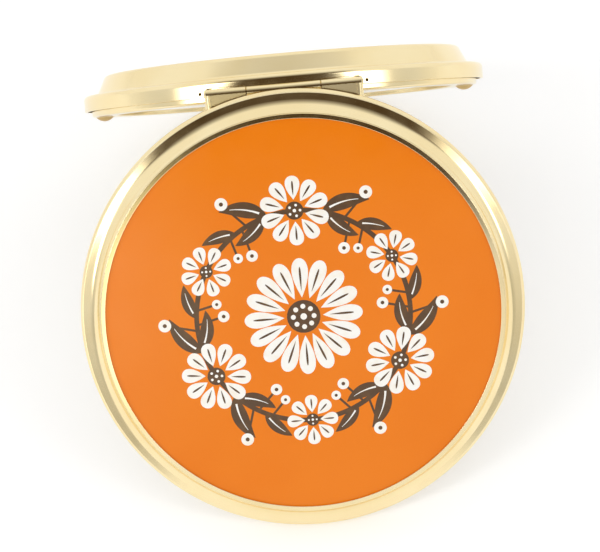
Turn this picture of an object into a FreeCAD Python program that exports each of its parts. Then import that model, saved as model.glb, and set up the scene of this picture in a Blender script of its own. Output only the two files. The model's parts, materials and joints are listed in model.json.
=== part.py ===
# Round pocket mirror: two pressed brass halves on a hinge, one mirror in each,
# an enamelled panel in the lid and a push-button catch in the base.
# It stands open like a tent, hinge on top, with the lid's panel facing -Y.
# Each piece is drawn with the case closed (parting plane z = 0, lid above it,
# hinge at +Y, catch at -Y) and is then turned with its half into the open pose.
# All lengths are in millimetres.
import FreeCAD, Part
import math
import os

# Case, shared by the two halves
rim_radius = 35.0
sheet = 0.5
parting_gap = 0.1
shoulder_height = 2.8
rim_round = 0.8
cove_round = 0.7
open_degrees = 85.0

# Lid pressing and enamelled panel
lid_edge_round = 0.15
lid_shoulder_width = 1.7
lid_ring_lean = 1.2
ledge_width = 0.2
bead_width = 0.83
bead_height = 0.5
bead_round = 0.3
lip_thickness = 0.35
lid_floor = 0.4
panel_lap = 0.33
panel_clearance = 0.05
panel_thickness = 0.6
panel_rise = 0.25
panel_margin = 0.2

# Base pressing
base_height = 6.1
base_shoulder_width = 2.4
base_ring_lean = 1.65
back_round = 1.0

# Mirrors, their packing and their frames
mirror_clearance = 0.1
lid_mirror_thickness = 1.4
lid_mirror_hollow = 0.4
card_thickness = 0.5
base_mirror_thickness = 1.8
mirror_bevel = 0.3
felt_thickness = 0.5
frame_sheet = 0.4
frame_lap = 1.7
frame_round = 0.35
lip_round = 0.2
lid_frame_gap = 0.35
lid_frame_lip = 0.3
base_frame_gap = 0.7
frame_rise = 0.9
pan_sheet = 0.4
pan_wall_height = 1.1

# Rest pips on the base's mirror frame
pip_radius = 1.6
pip_height = 0.75
pip_offset = 0.6
pip_clearance = 0.3

# Hinge
hinge_inset = 0.1
hinge_drop = 0.3
barrel_radius = 0.9
pin_radius = 0.45
pin_clearance = 0.03
middle_knuckle_half = 5.7
end_knuckle_length = 5.4
ear_width = 1.0
knuckle_gap = 0.2
barrel_gap = 0.25
notch_round = 0.8
tab_round = 0.5
leaf_sheet = 0.4
web_lift = 0.1
dimple_radius = 0.28
dimple_depth = 0.3
dimple_offset = 0.8
dimple_drop = 0.65

# Catch
button_half_width = 3.0
button_height = 0.95
button_proud = 0.6
button_flange = 0.3
button_flange_lap = 0.5
button_round = 0.3
slide_clearance = 0.05
catch_travel = 0.45
tongue_half_width = 2.6
tongue_sheet = 0.3
nose_reach = 0.35
nose_height = 0.35
nose_half_width = 2.0
strike_half_width = 2.6
strike_height = 0.3
strike_lift = 0.1
strike_gap = 0.15
strike_clearance = 0.1
rivet_radius = 0.25
rivet_head_lap = 0.2
rivet_head = 0.15
housing_sheet = 0.25
housing_room = 1.25
housing_wall_height = 2.35
housing_cheek_height = 1.75
spring_sheet = 0.12
spring_end_gap = 0.45
spring_lift = 0.25
spring_height = 1.6
window_clearance = 0.2

# One overrun for every cut, and how close two sizes are to count as one
overrun = 2.0
same = 0.0001

half_gap = parting_gap / 2
inner_shoulder = shoulder_height - sheet
inner_rim_radius = rim_radius - sheet

# Heights in the base, from the frame's top inwards
base_mirror_face_z = frame_rise - frame_sheet
base_mirror_back_z = base_mirror_face_z - base_mirror_thickness
pan_floor_z = base_mirror_back_z - felt_thickness

# Heights in the lid, from the base's rest pips outwards
lid_frame_face_z = frame_rise + pip_height + pip_clearance
lid_mirror_face_z = lid_frame_face_z + lid_frame_lip
lid_mirror_back_z = lid_mirror_face_z + lid_mirror_thickness
lid_floor_under_z = lid_mirror_back_z + card_thickness
panel_under_z = lid_floor_under_z + lid_floor
lip_under_z = panel_under_z + panel_thickness
lid_height = lip_under_z + lip_thickness
ledge_z = lid_height - bead_height

# Radii of the lid, from the rim inwards
lid_ring_foot_radius = rim_radius - lid_shoulder_width
lid_ring_head_radius = lid_ring_foot_radius - lid_ring_lean
bead_radius = lid_ring_head_radius - ledge_width
lip_radius = bead_radius - bead_width
panel_radius = lip_radius + panel_lap
lid_ring_climb_share = (lid_floor_under_z - shoulder_height) / (ledge_z - shoulder_height)
lid_cavity_radius = lid_ring_foot_radius - lid_ring_lean * lid_ring_climb_share - sheet

# Radii of the base, the frames and the mirrors
base_ring_foot_radius = rim_radius - base_shoulder_width
base_ring_head_radius = base_ring_foot_radius - base_ring_lean
base_frame_radius = inner_rim_radius - base_frame_gap
lid_frame_radius = lid_cavity_radius - lid_frame_gap
mirror_seat_radius = lid_frame_radius - frame_sheet
mirror_radius = mirror_seat_radius - mirror_clearance
mirror_view_radius = mirror_radius - frame_lap
pip_place_radius = mirror_radius + pip_offset

# Hinge places
hinge_y = rim_radius - hinge_inset
hinge_z = -hinge_drop
end_knuckle_inner = middle_knuckle_half + knuckle_gap
end_knuckle_outer = end_knuckle_inner + end_knuckle_length
ear_outer = end_knuckle_outer + ear_width
notch_half_width = ear_outer + knuckle_gap
notch_reach = barrel_radius + barrel_gap
notch_top_z = hinge_z + notch_reach
notch_bottom_z = hinge_z - notch_reach
leaf_radius = inner_rim_radius - leaf_sheet
dimple_x = ear_outer + dimple_offset

# Catch places: inwards from the rim's inner wall, and upwards from the parting plane
flange_half_width = button_half_width + button_flange_lap
button_flange_y = slide_clearance - math.sqrt(inner_rim_radius ** 2 - flange_half_width ** 2)
tongue_front_y = button_flange_y + button_flange
tongue_back_y = tongue_front_y + tongue_sheet
spring_room = catch_travel + 2 * spring_sheet + slide_clearance
housing_wall_y = tongue_back_y + rivet_head + spring_room
housing_back_y = housing_wall_y + housing_sheet
housing_half_width = flange_half_width + housing_room + housing_sheet
spring_half_width = housing_half_width - housing_sheet - spring_end_gap
housing_front_y = -math.sqrt((inner_rim_radius - window_clearance) ** 2 - housing_half_width ** 2)
window_half_width = housing_half_width + window_clearance
tongue_room_y = tongue_back_y + catch_travel + window_clearance
tongue_room_half = tongue_half_width + window_clearance
housing_floor_z = housing_sheet - inner_shoulder
button_bottom_z = housing_floor_z + slide_clearance
button_middle_z = button_bottom_z + button_height / 2
strike_bottom_z = half_gap + strike_lift
strike_top_z = strike_bottom_z + strike_height
nose_bottom_z = strike_top_z + strike_gap
tongue_top_z = nose_bottom_z + nose_height


def vector(x, y, z):
    return FreeCAD.Vector(x, y, z)


def slab(x_low, x_high, y_low, y_high, z_low, z_high):
    """A box between two corners."""
    corner = vector(x_low, y_low, z_low)
    return Part.makeBox(x_high - x_low, y_high - y_low, z_high - z_low, corner)


def drum(radius, z_low, z_high):
    """A round plate on the case's own axis."""
    return Part.makeCylinder(radius, z_high - z_low, vector(0, 0, z_low))


def tube(inner_radius, outer_radius, z_low, z_high):
    """A round wall on the case's own axis."""
    return drum(outer_radius, z_low, z_high).cut(drum(inner_radius, z_low, z_high))


def hinge_rod(radius, x_low, x_high):
    """A rod on the hinge's axis."""
    start = vector(x_low, hinge_y, hinge_z)
    return Part.makeCylinder(radius, x_high - x_low, start, vector(1, 0, 0))


def edge_path(points):
    """Straight edges through (radius, height) points."""
    corners = [vector(radius, 0, height) for radius, height in points]
    return [Part.LineSegment(a, b).toShape() for a, b in zip(corners, corners[1:])]


def turned(edges):
    """The solid that a closed outline makes when it is turned about the axis."""
    face = Part.Face(Part.Wire(edges))
    return face.revolve(vector(0, 0, 0), vector(0, 0, 1), 360)


def turned_polygon(points):
    return turned(edge_path(points + points[:1]))


def crown_arc(outer, middle_height):
    """A shallow arc from an outer (radius, height) point to the axis."""
    radius, height = outer
    rise = middle_height - height
    ball_radius = (radius ** 2 + rise ** 2) / (2 * abs(rise))
    drop = ball_radius - math.sqrt(ball_radius ** 2 - (radius / 2) ** 2)
    middle = vector(radius / 2, 0, middle_height - math.copysign(drop, rise))
    return Part.Arc(vector(radius, 0, height), middle, vector(0, 0, middle_height)).toShape()


def rounded(shape, radius, places):
    """Round the ring-shaped edges at the given (radius, height) places."""
    chosen = []
    for edge in shape.Edges:
        if not isinstance(edge.Curve, Part.Circle):
            continue
        for ring_radius, height in places:
            near_radius = abs(edge.Curve.Radius - ring_radius) < same
            near_height = abs(edge.Curve.Center.z - height) < same
            if near_radius and near_height:
                chosen.append(edge)
    return shape.makeFillet(radius, chosen)


def fused(shapes):
    return shapes[0].multiFuse(shapes[1:]).removeSplitter()


def both_sides(shape):
    """A shape and its mirror image across the plane of symmetry."""
    return [shape, shape.mirror(vector(0, 0, 0), vector(1, 0, 0))]


def hinge_block(x_low, x_high, corner_round):
    """A round-cornered opening that a rim leaves for the hinge."""
    wall_y = math.sqrt(inner_rim_radius ** 2 - x_high ** 2)
    block = slab(x_low, x_high, wall_y - overrun, rim_radius + overrun, notch_bottom_z, notch_top_z)
    corners = [edge for edge in block.Edges if abs(edge.tangentAt(0).y) > 1 - same]
    return block.makeFillet(corner_round, corners)


# Lid


def lid_shell():
    """Rim, shoulder, sloping ring and rolled bead, pressed from one sheet."""
    shell = turned_polygon([
        (rim_radius, half_gap),
        (rim_radius, shoulder_height),
        (lid_ring_foot_radius, shoulder_height),
        (lid_ring_head_radius, ledge_z),
        (bead_radius, ledge_z),
        (bead_radius, lid_height),
        (lip_radius, lid_height),
        (lip_radius, lip_under_z),
        (panel_radius + panel_clearance, lip_under_z),
        (panel_radius + panel_clearance, panel_under_z),
        (0, panel_under_z),
        (0, lid_floor_under_z),
        (lid_cavity_radius, lid_floor_under_z),
        (lid_ring_foot_radius - sheet, inner_shoulder),
        (inner_rim_radius, inner_shoulder),
        (inner_rim_radius, half_gap),
    ])
    shell = rounded(shell, lid_edge_round, [(rim_radius, half_gap)])
    shell = rounded(shell, rim_round, [(rim_radius, shoulder_height)])
    shell = rounded(shell, cove_round, [(lid_ring_foot_radius, shoulder_height)])
    shell = rounded(shell, bead_round, [(bead_radius, lid_height), (lip_radius, lid_height)])
    return shell.cut(hinge_block(-notch_half_width, notch_half_width, notch_round))


def enamel_panel():
    """Slightly domed plate whose flat margin lies under the bead's lip."""
    dome_radius = lip_radius - panel_margin
    sides = edge_path([
        (0, panel_under_z),
        (panel_radius, panel_under_z),
        (panel_radius, lip_under_z),
        (dome_radius, lip_under_z),
    ])
    dome = crown_arc((dome_radius, lip_under_z), lip_under_z + panel_rise)
    axis = edge_path([(0, lip_under_z + panel_rise), (0, panel_under_z)])
    return turned(sides + [dome] + axis)


def lid_backing_card():
    return drum(mirror_radius, lid_mirror_back_z, lid_floor_under_z)


def lid_mirror():
    """Magnifying glass: flat back, hollow face, flat margin under the frame."""
    hollow_z = lid_mirror_face_z + lid_mirror_hollow
    sides = edge_path([
        (0, lid_mirror_back_z),
        (mirror_radius, lid_mirror_back_z),
        (mirror_radius, lid_mirror_face_z),
        (mirror_view_radius, lid_mirror_face_z),
    ])
    hollow = crown_arc((mirror_view_radius, lid_mirror_face_z), hollow_z)
    axis = edge_path([(0, hollow_z), (0, lid_mirror_back_z)])
    return turned(sides + [hollow] + axis)


def lid_mirror_frame():
    """Ring soldered under the lid's floor, with a lip round the glass."""
    frame = turned_polygon([
        (lid_frame_radius, lid_frame_face_z),
        (lid_frame_radius, lid_floor_under_z),
        (mirror_seat_radius, lid_floor_under_z),
        (mirror_seat_radius, lid_mirror_face_z),
        (mirror_view_radius, lid_mirror_face_z),
        (mirror_view_radius, lid_frame_face_z),
    ])
    frame = rounded(frame, frame_round, [(lid_frame_radius, lid_frame_face_z)])
    return rounded(frame, lip_round, [(mirror_view_radius, lid_frame_face_z)])


def lid_hinge_leaf():
    """Leaf inside the lid's rim with the two end knuckles and their ears."""
    web_z = hinge_z + web_lift
    strap = tube(leaf_radius, inner_rim_radius, notch_top_z, inner_shoulder)
    strap = strap.common(slab(-ear_outer, ear_outer, 0, rim_radius, notch_top_z, inner_shoulder))
    wall = tube(leaf_radius, rim_radius, web_z, notch_top_z)
    wall = wall.common(slab(end_knuckle_inner, ear_outer, 0, rim_radius, web_z, notch_top_z))
    web = slab(end_knuckle_inner, ear_outer, 0, hinge_y, web_z, hinge_z + barrel_radius)
    web = web.cut(drum(leaf_radius, web_z, hinge_z + barrel_radius))
    knuckle = hinge_rod(barrel_radius, end_knuckle_inner, ear_outer)
    ear_wall_y = math.sqrt(rim_radius ** 2 - end_knuckle_outer ** 2)
    ear = slab(end_knuckle_outer, ear_outer, ear_wall_y - sheet, hinge_y, web_z, notch_top_z)
    side = fused([wall, web, knuckle, ear]).common(hinge_block(-ear_outer, ear_outer, notch_round))
    leaf = fused([strap] + both_sides(side))
    return leaf.cut(hinge_rod(pin_radius + pin_clearance, -ear_outer, ear_outer))


def catch_strike():
    """Lip inside the lid's front rim that the catch holds down."""
    bar = slab(-strike_half_width, strike_half_width, -rim_radius, tongue_front_y - strike_clearance,
               strike_bottom_z, strike_top_z)
    return bar.common(drum(inner_rim_radius, strike_bottom_z, strike_top_z))


# Base


def base_shell():
    """Rim, shoulder and stepped back, pressed from one sheet."""
    shell = turned_polygon([
        (rim_radius, -half_gap),
        (rim_radius, -shoulder_height),
        (base_ring_foot_radius, -shoulder_height),
        (base_ring_head_radius, -base_height),
        (0, -base_height),
        (0, sheet - base_height),
        (base_ring_head_radius - sheet, sheet - base_height),
        (base_ring_foot_radius - sheet, -inner_shoulder),
        (inner_rim_radius, -inner_shoulder),
        (inner_rim_radius, -half_gap),
    ])
    shell = rounded(shell, rim_round, [(rim_radius, -shoulder_height)])
    shell = rounded(shell, cove_round, [(base_ring_foot_radius, -shoulder_height)])
    shell = rounded(shell, back_round, [(base_ring_head_radius, -base_height)])
    shell = shell.cut(hinge_block(-notch_half_width, notch_half_width, notch_round))
    for dimple in both_sides(hinge_dimple()):
        shell = shell.cut(dimple)
    return shell.cut(button_slot())


def hinge_dimple():
    """Small blind hole in the rim beside the hinge's ear."""
    wall_y = math.sqrt(rim_radius ** 2 - dimple_x ** 2)
    start = vector(dimple_x, wall_y - dimple_depth, -dimple_drop)
    return Part.makeCylinder(dimple_radius, dimple_depth + overrun, start, vector(0, 1, 0))


def button_slot():
    """Opening in the base's front rim that guides the button."""
    half_width = button_half_width + slide_clearance
    low_z = button_bottom_z - slide_clearance
    high_z = button_bottom_z + button_height + slide_clearance
    return slab(-half_width, half_width, -rim_radius - overrun, button_flange_y, low_z, high_z)


def mirror_pan():
    """Pressed pan on the base's inner shoulder that carries felt and mirror."""
    flange_radius = base_frame_radius - frame_sheet - mirror_clearance
    flange_top_z = pan_sheet - inner_shoulder
    pan = turned_polygon([
        (flange_radius, -inner_shoulder),
        (flange_radius, flange_top_z),
        (mirror_seat_radius + pan_sheet, flange_top_z),
        (mirror_seat_radius + pan_sheet, pan_floor_z + pan_wall_height),
        (mirror_seat_radius, pan_floor_z + pan_wall_height),
        (mirror_seat_radius, pan_floor_z),
        (0, pan_floor_z),
        (0, pan_floor_z - pan_sheet),
        (mirror_seat_radius, pan_floor_z - pan_sheet),
        (mirror_seat_radius, -inner_shoulder),
    ])
    return pan.cut(slab(-window_half_width, window_half_width, -rim_radius,
                        housing_back_y + window_clearance, -shoulder_height, frame_rise))


def base_backing_felt():
    return drum(mirror_radius, pan_floor_z, base_mirror_back_z)


def base_mirror():
    """Plain flat glass with a bevelled front edge."""
    return turned_polygon([
        (0, base_mirror_back_z),
        (mirror_radius, base_mirror_back_z),
        (mirror_radius, base_mirror_face_z - mirror_bevel),
        (mirror_radius - mirror_bevel, base_mirror_face_z),
        (0, base_mirror_face_z),
    ])


def base_mirror_frame():
    """Frame whose skirt stands on the base's shoulder and rises into the lid."""
    frame = turned_polygon([
        (base_frame_radius, -inner_shoulder),
        (base_frame_radius, frame_rise),
        (mirror_view_radius, frame_rise),
        (mirror_view_radius, base_mirror_face_z),
        (base_frame_radius - frame_sheet, base_mirror_face_z),
        (base_frame_radius - frame_sheet, -inner_shoulder),
    ])
    frame = rounded(frame, frame_round, [(base_frame_radius, frame_rise)])
    frame = rounded(frame, lip_round, [(mirror_view_radius, frame_rise)])
    window = slab(-window_half_width, window_half_width, -rim_radius, -mirror_radius,
                  -shoulder_height, base_mirror_face_z)
    tongue_room = slab(-tongue_room_half, tongue_room_half, -rim_radius, tongue_room_y,
                       base_mirror_face_z - overrun, frame_rise + overrun)
    return frame.cut(window.fuse(tongue_room))


def rest_pips():
    """Two domed studs that keep the closed mirrors apart."""
    ball_radius = (pip_radius ** 2 + pip_height ** 2) / (2 * pip_height)
    ball_z = frame_rise + pip_height - ball_radius
    ball = Part.makeSphere(ball_radius, vector(pip_place_radius, 0, ball_z))
    top = Part.makeCylinder(ball_radius, pip_height, vector(pip_place_radius, 0, frame_rise))
    return Part.makeCompound(both_sides(ball.common(top)))


def base_hinge_leaf():
    """Leaf inside the base's rim, with a flared tab in the notch that rolls into the knuckle."""
    strap = tube(leaf_radius, inner_rim_radius, -inner_shoulder, notch_bottom_z)
    strap = strap.common(slab(-end_knuckle_outer, end_knuckle_outer, 0, rim_radius,
                              -inner_shoulder, notch_bottom_z))
    tab_half_width = middle_knuckle_half + tab_round
    tab = tube(leaf_radius, rim_radius, notch_bottom_z, hinge_z)
    tab = tab.common(slab(-tab_half_width, tab_half_width, 0, rim_radius, notch_bottom_z, hinge_z))
    for side in both_sides(hinge_block(middle_knuckle_half, notch_half_width, tab_round)):
        tab = tab.cut(side)
    knuckle = hinge_rod(barrel_radius, -middle_knuckle_half, middle_knuckle_half)
    leaf = fused([strap, tab, knuckle])
    return leaf.cut(hinge_rod(pin_radius + pin_clearance, -ear_outer, ear_outer))


def hinge_pin():
    return hinge_rod(pin_radius, -ear_outer, ear_outer)


def catch_housing():
    """Bent bracket on the base's shoulder: floor, back wall and two cheeks."""
    floor = slab(-housing_half_width, housing_half_width, housing_front_y, housing_back_y,
                 -inner_shoulder, housing_floor_z)
    back = slab(-housing_half_width, housing_half_width, housing_wall_y, housing_back_y,
                housing_floor_z, housing_floor_z + housing_wall_height)
    cheek = slab(housing_half_width - housing_sheet, housing_half_width, housing_front_y,
                 housing_back_y, housing_floor_z, housing_floor_z + housing_cheek_height)
    return fused([floor, back] + both_sides(cheek))


def catch_spring():
    """Bowed leaf spring between the housing's back wall and the rivet's head."""
    crown_y = tongue_back_y + rivet_head
    end_y = housing_wall_y - spring_sheet
    bottom_z = housing_floor_z + spring_lift
    outer = Part.Arc(vector(-spring_half_width, end_y, bottom_z), vector(0, crown_y, bottom_z),
                     vector(spring_half_width, end_y, bottom_z)).toShape()
    inner = Part.Arc(vector(-spring_half_width, housing_wall_y, bottom_z),
                     vector(0, crown_y + spring_sheet, bottom_z),
                     vector(spring_half_width, housing_wall_y, bottom_z)).toShape()
    ends = [Part.LineSegment(vector(side, end_y, bottom_z),
                             vector(side, housing_wall_y, bottom_z)).toShape()
            for side in (-spring_half_width, spring_half_width)]
    face = Part.Face(Part.Wire(Part.__sortEdges__([outer, inner] + ends)))
    return face.extrude(vector(0, 0, spring_height))


# Catch, which slides in the base


def push_button():
    """Button through the rim's slot, with a flange that stops it inside."""
    front_y = -rim_radius - button_proud
    top_z = button_bottom_z + button_height
    cap = slab(-button_half_width, button_half_width, front_y, button_flange_y,
               button_bottom_z, top_z)
    front_edges = [edge for edge in cap.Edges if abs(edge.CenterOfMass.y - front_y) < same]
    cap = cap.makeFillet(button_round, front_edges)
    flange = slab(-flange_half_width, flange_half_width, button_flange_y, tongue_front_y,
                  button_bottom_z, top_z)
    return fused([cap, flange]).cut(rivet_shank(tongue_front_y))


def rivet_shank(end_y):
    """Rod on the catch's line of travel, from inside the button to a depth."""
    start = vector(0, -rim_radius, button_middle_z)
    return Part.makeCylinder(rivet_radius, end_y + rim_radius, start, vector(0, 1, 0))


def catch_tongue():
    """Upright strip behind the button, ending in a sloped nose."""
    nose_tip_y = tongue_front_y - nose_reach
    strip = slab(-tongue_half_width, tongue_half_width, tongue_front_y, tongue_back_y,
                 button_bottom_z, tongue_top_z)
    outline = Part.makePolygon([
        vector(-nose_half_width, tongue_front_y, nose_bottom_z),
        vector(-nose_half_width, nose_tip_y, nose_bottom_z),
        vector(-nose_half_width, tongue_front_y, tongue_top_z),
        vector(-nose_half_width, tongue_front_y, nose_bottom_z),
    ])
    nose = Part.Face(outline).extrude(vector(2 * nose_half_width, 0, 0))
    return fused([strip, nose]).cut(rivet_shank(tongue_back_y))


def button_rivet():
    """Rivet that holds the tongue to the button."""
    head = Part.makeCylinder(rivet_radius + rivet_head_lap, rivet_head,
                             vector(0, tongue_back_y, button_middle_z), vector(0, 1, 0))
    return fused([rivet_shank(tongue_back_y), head])


# Open pose


def lid_lean():
    """Angle of the lid from upright at which both halves stand on the floor."""
    rim_foot = lean_on(rim_radius, -half_gap, 0)
    frame_foot = lean_on(base_frame_radius - frame_round, frame_rise - frame_round, frame_round)
    return min(rim_foot, frame_foot)


def lean_on(foot_radius, foot_z, foot_round):
    """Lean of the lid when the base stands on a round edge about a (radius, height) place."""
    lid_reach = hinge_y + rim_radius - lid_edge_round
    lid_drop = half_gap + lid_edge_round - hinge_z
    base_reach = hinge_y + foot_radius
    base_drop = foot_z - hinge_z
    opening = math.radians(open_degrees)
    across = lid_reach - base_reach * math.cos(opening) - base_drop * math.sin(opening)
    along = lid_drop + base_reach * math.sin(opening) - base_drop * math.cos(opening)
    turn = math.acos((foot_round - lid_edge_round) / math.hypot(across, along))
    return math.degrees(turn - math.atan2(along, across)) % 360


def opened(shape, degrees):
    """Turn a piece about the hinge and bring the hinge to the origin."""
    shape = shape.copy()
    shape.translate(vector(0, -hinge_y, -hinge_z))
    shape.rotate(vector(0, 0, 0), vector(1, 0, 0), degrees)
    return shape


LID_PIECES = [
    lid_shell, enamel_panel, lid_backing_card, lid_mirror, lid_mirror_frame,
    lid_hinge_leaf, catch_strike,
]
BASE_PIECES = [
    base_shell, mirror_pan, base_backing_felt, base_mirror, base_mirror_frame, rest_pips,
    base_hinge_leaf, hinge_pin, catch_housing, catch_spring,
    push_button, catch_tongue, button_rivet,
]


def main():
    lean = lid_lean()
    pieces = {}
    for make in LID_PIECES:
        pieces[make.__name__] = opened(make(), 90 - lean)
    for make in BASE_PIECES:
        pieces[make.__name__] = opened(make(), 90 - lean + open_degrees)
    box = Part.makeCompound(list(pieces.values())).optimalBoundingBox(False, False)
    lift = vector(-box.Center.x, -box.Center.y, -box.ZMin)
    os.makedirs("parts", exist_ok=True)
    for name, shape in pieces.items():
        shape.translate(lift)
        shape.exportStep("parts/" + name + ".step")
        print(name, len(shape.Solids), round(shape.Volume, 3), shape.isValid())
    print("lid lean", lean, "hinge at", tuple(lift))
    print("box", box.XLength, box.YLength, box.ZLength)


main()
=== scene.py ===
"""Looks of a round gilt pocket mirror that stands open like a tent.

Everything is in metres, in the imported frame: +X along the hinge, -Y towards the viewer, +Z up.
The solids come from the frame. This file turns the polished pressings anew with softened edges,
prints the lid's flower design, makes the packing felt, bends the catch's spring, gives every piece
its finish, and sets the floor, the light and the camera.
"""

from __future__ import annotations

import json
import logging
import math
from dataclasses import dataclass, field
from enum import Enum
from typing import Any, Optional, Sequence

import bmesh
import bpy
from mathutils import Matrix, Quaternion, Vector

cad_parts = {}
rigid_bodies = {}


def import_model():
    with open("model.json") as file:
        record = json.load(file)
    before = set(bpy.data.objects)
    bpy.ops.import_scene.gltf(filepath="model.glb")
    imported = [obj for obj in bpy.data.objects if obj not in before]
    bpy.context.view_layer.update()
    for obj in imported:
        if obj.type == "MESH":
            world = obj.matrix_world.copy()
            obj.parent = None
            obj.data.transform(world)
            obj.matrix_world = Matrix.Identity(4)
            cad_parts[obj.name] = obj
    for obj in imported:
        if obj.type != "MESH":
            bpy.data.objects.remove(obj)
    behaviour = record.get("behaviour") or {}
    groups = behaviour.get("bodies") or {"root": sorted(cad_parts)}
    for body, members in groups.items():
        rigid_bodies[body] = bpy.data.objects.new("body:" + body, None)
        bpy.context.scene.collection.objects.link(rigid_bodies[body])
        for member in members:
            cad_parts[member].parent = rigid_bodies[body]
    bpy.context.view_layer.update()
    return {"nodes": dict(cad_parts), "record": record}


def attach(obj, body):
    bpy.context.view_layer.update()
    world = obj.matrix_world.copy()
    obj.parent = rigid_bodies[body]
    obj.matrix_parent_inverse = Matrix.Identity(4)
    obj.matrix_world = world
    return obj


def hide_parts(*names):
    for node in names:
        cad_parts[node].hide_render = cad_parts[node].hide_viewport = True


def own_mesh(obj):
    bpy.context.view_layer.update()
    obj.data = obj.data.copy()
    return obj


LOG = logging.getLogger("pocket_mirror")

Colour = tuple[float, float, float]
Triple = tuple[float, float, float]
Point = tuple[float, float]
Material = bpy.types.Material
Piece = bpy.types.Object
Socket = bpy.types.NodeSocket

IMAGE_WIDTH = 600
IMAGE_HEIGHT = 552

# The hinge's line: how far it is from the middle of a half, and from its parting plane.
HINGE_REACH = 0.0349
HINGE_DROP = 0.0003

# Turned pieces: the step of an arc, the distance of the guard points beside a corner, the shortest
# side that has them, the steps of a full turn, and the angle from which an edge stays sharp.
ARC_STEP = math.radians(9.0)
GUARD = 0.00006
GUARDED_SIDE = 3 * GUARD
RING_STEPS = 288
SHARP = math.radians(35.0)

# Waves round the edge of a soft piece.
WAVES = (7, 17)

# Both ends of a share that rises, and of one that falls.
RISE = (0.0, 1.0)
FALL = (1.0, 0.0)

MIDDLE = (0.0, 0.0)
WHITE = (1.0, 1.0, 1.0)


class Body(Enum):
    """The bodies of the frame that pieces ride on."""

    BASE = "base"
    LID = "lid"
    CATCH = "catch"


class Slot(Enum):
    """The record's material slots."""

    GILT = "gilt_brass"
    BRASS = "plain_brass"
    ENAMEL = "enamel"
    CARD = "card"
    FELT = "felt"
    GLASS = "silvered_glass"
    STEEL = "spring_steel"


class Turn(Enum):
    """The two ways round a ring."""

    CLOCKWISE = -1
    COUNTER = 1


class Layer(Enum):
    """The printed layers of the lid's design."""

    STEMS = "stems"
    LEAVES = "leaves"
    RIBS = "ribs"
    PETALS = "petals"
    VEINS = "veins"
    SEEDS = "seeds"


Finishes = dict[Slot, Material]


@dataclass(frozen=True)
class HalfFrame:
    """Own axes of one half of the case.

    Attributes:
        origin: The half's middle on the parting plane.
        right: Direction along the hinge.
        up: Direction along the half, towards the lid's hinge or the base's catch.
        normal: Outward direction.
    """

    origin: Vector
    right: Vector
    up: Vector
    normal: Vector

    def point(self, across: float, along: float, height: float) -> Vector:
        """Give the frame's point for a place on the half.

        Args:
            across: Distance along the hinge's direction.
            along: Distance along the half, towards the lid's hinge or the base's catch.
            height: Distance from the parting plane, outwards.

        Returns:
            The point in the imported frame.
        """
        return self.origin + self.right * across + self.up * along + self.normal * height

    def tilt(self) -> float:
        """Angle about X that turns +Z into the half's normal."""
        return math.atan2(-self.normal.y, self.normal.z)

    @classmethod
    def at_hinge(cls, hinge: Vector, normal: Vector, reach: float, rise: float) -> HalfFrame:
        """Find a half's axes from the hinge.

        Args:
            hinge: A point on the hinge's line in the plane of symmetry.
            normal: Outward direction of the half.
            reach: Where the hinge is along the half, from its middle.
            rise: How high the hinge is over the parting plane, outwards.

        Returns:
            Axes whose origin is the half's middle on the parting plane.
        """
        right = Vector((1.0, 0.0, 0.0))
        up = normal.cross(right)
        return cls(hinge - up * reach - normal * rise, right, up, normal)


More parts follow.
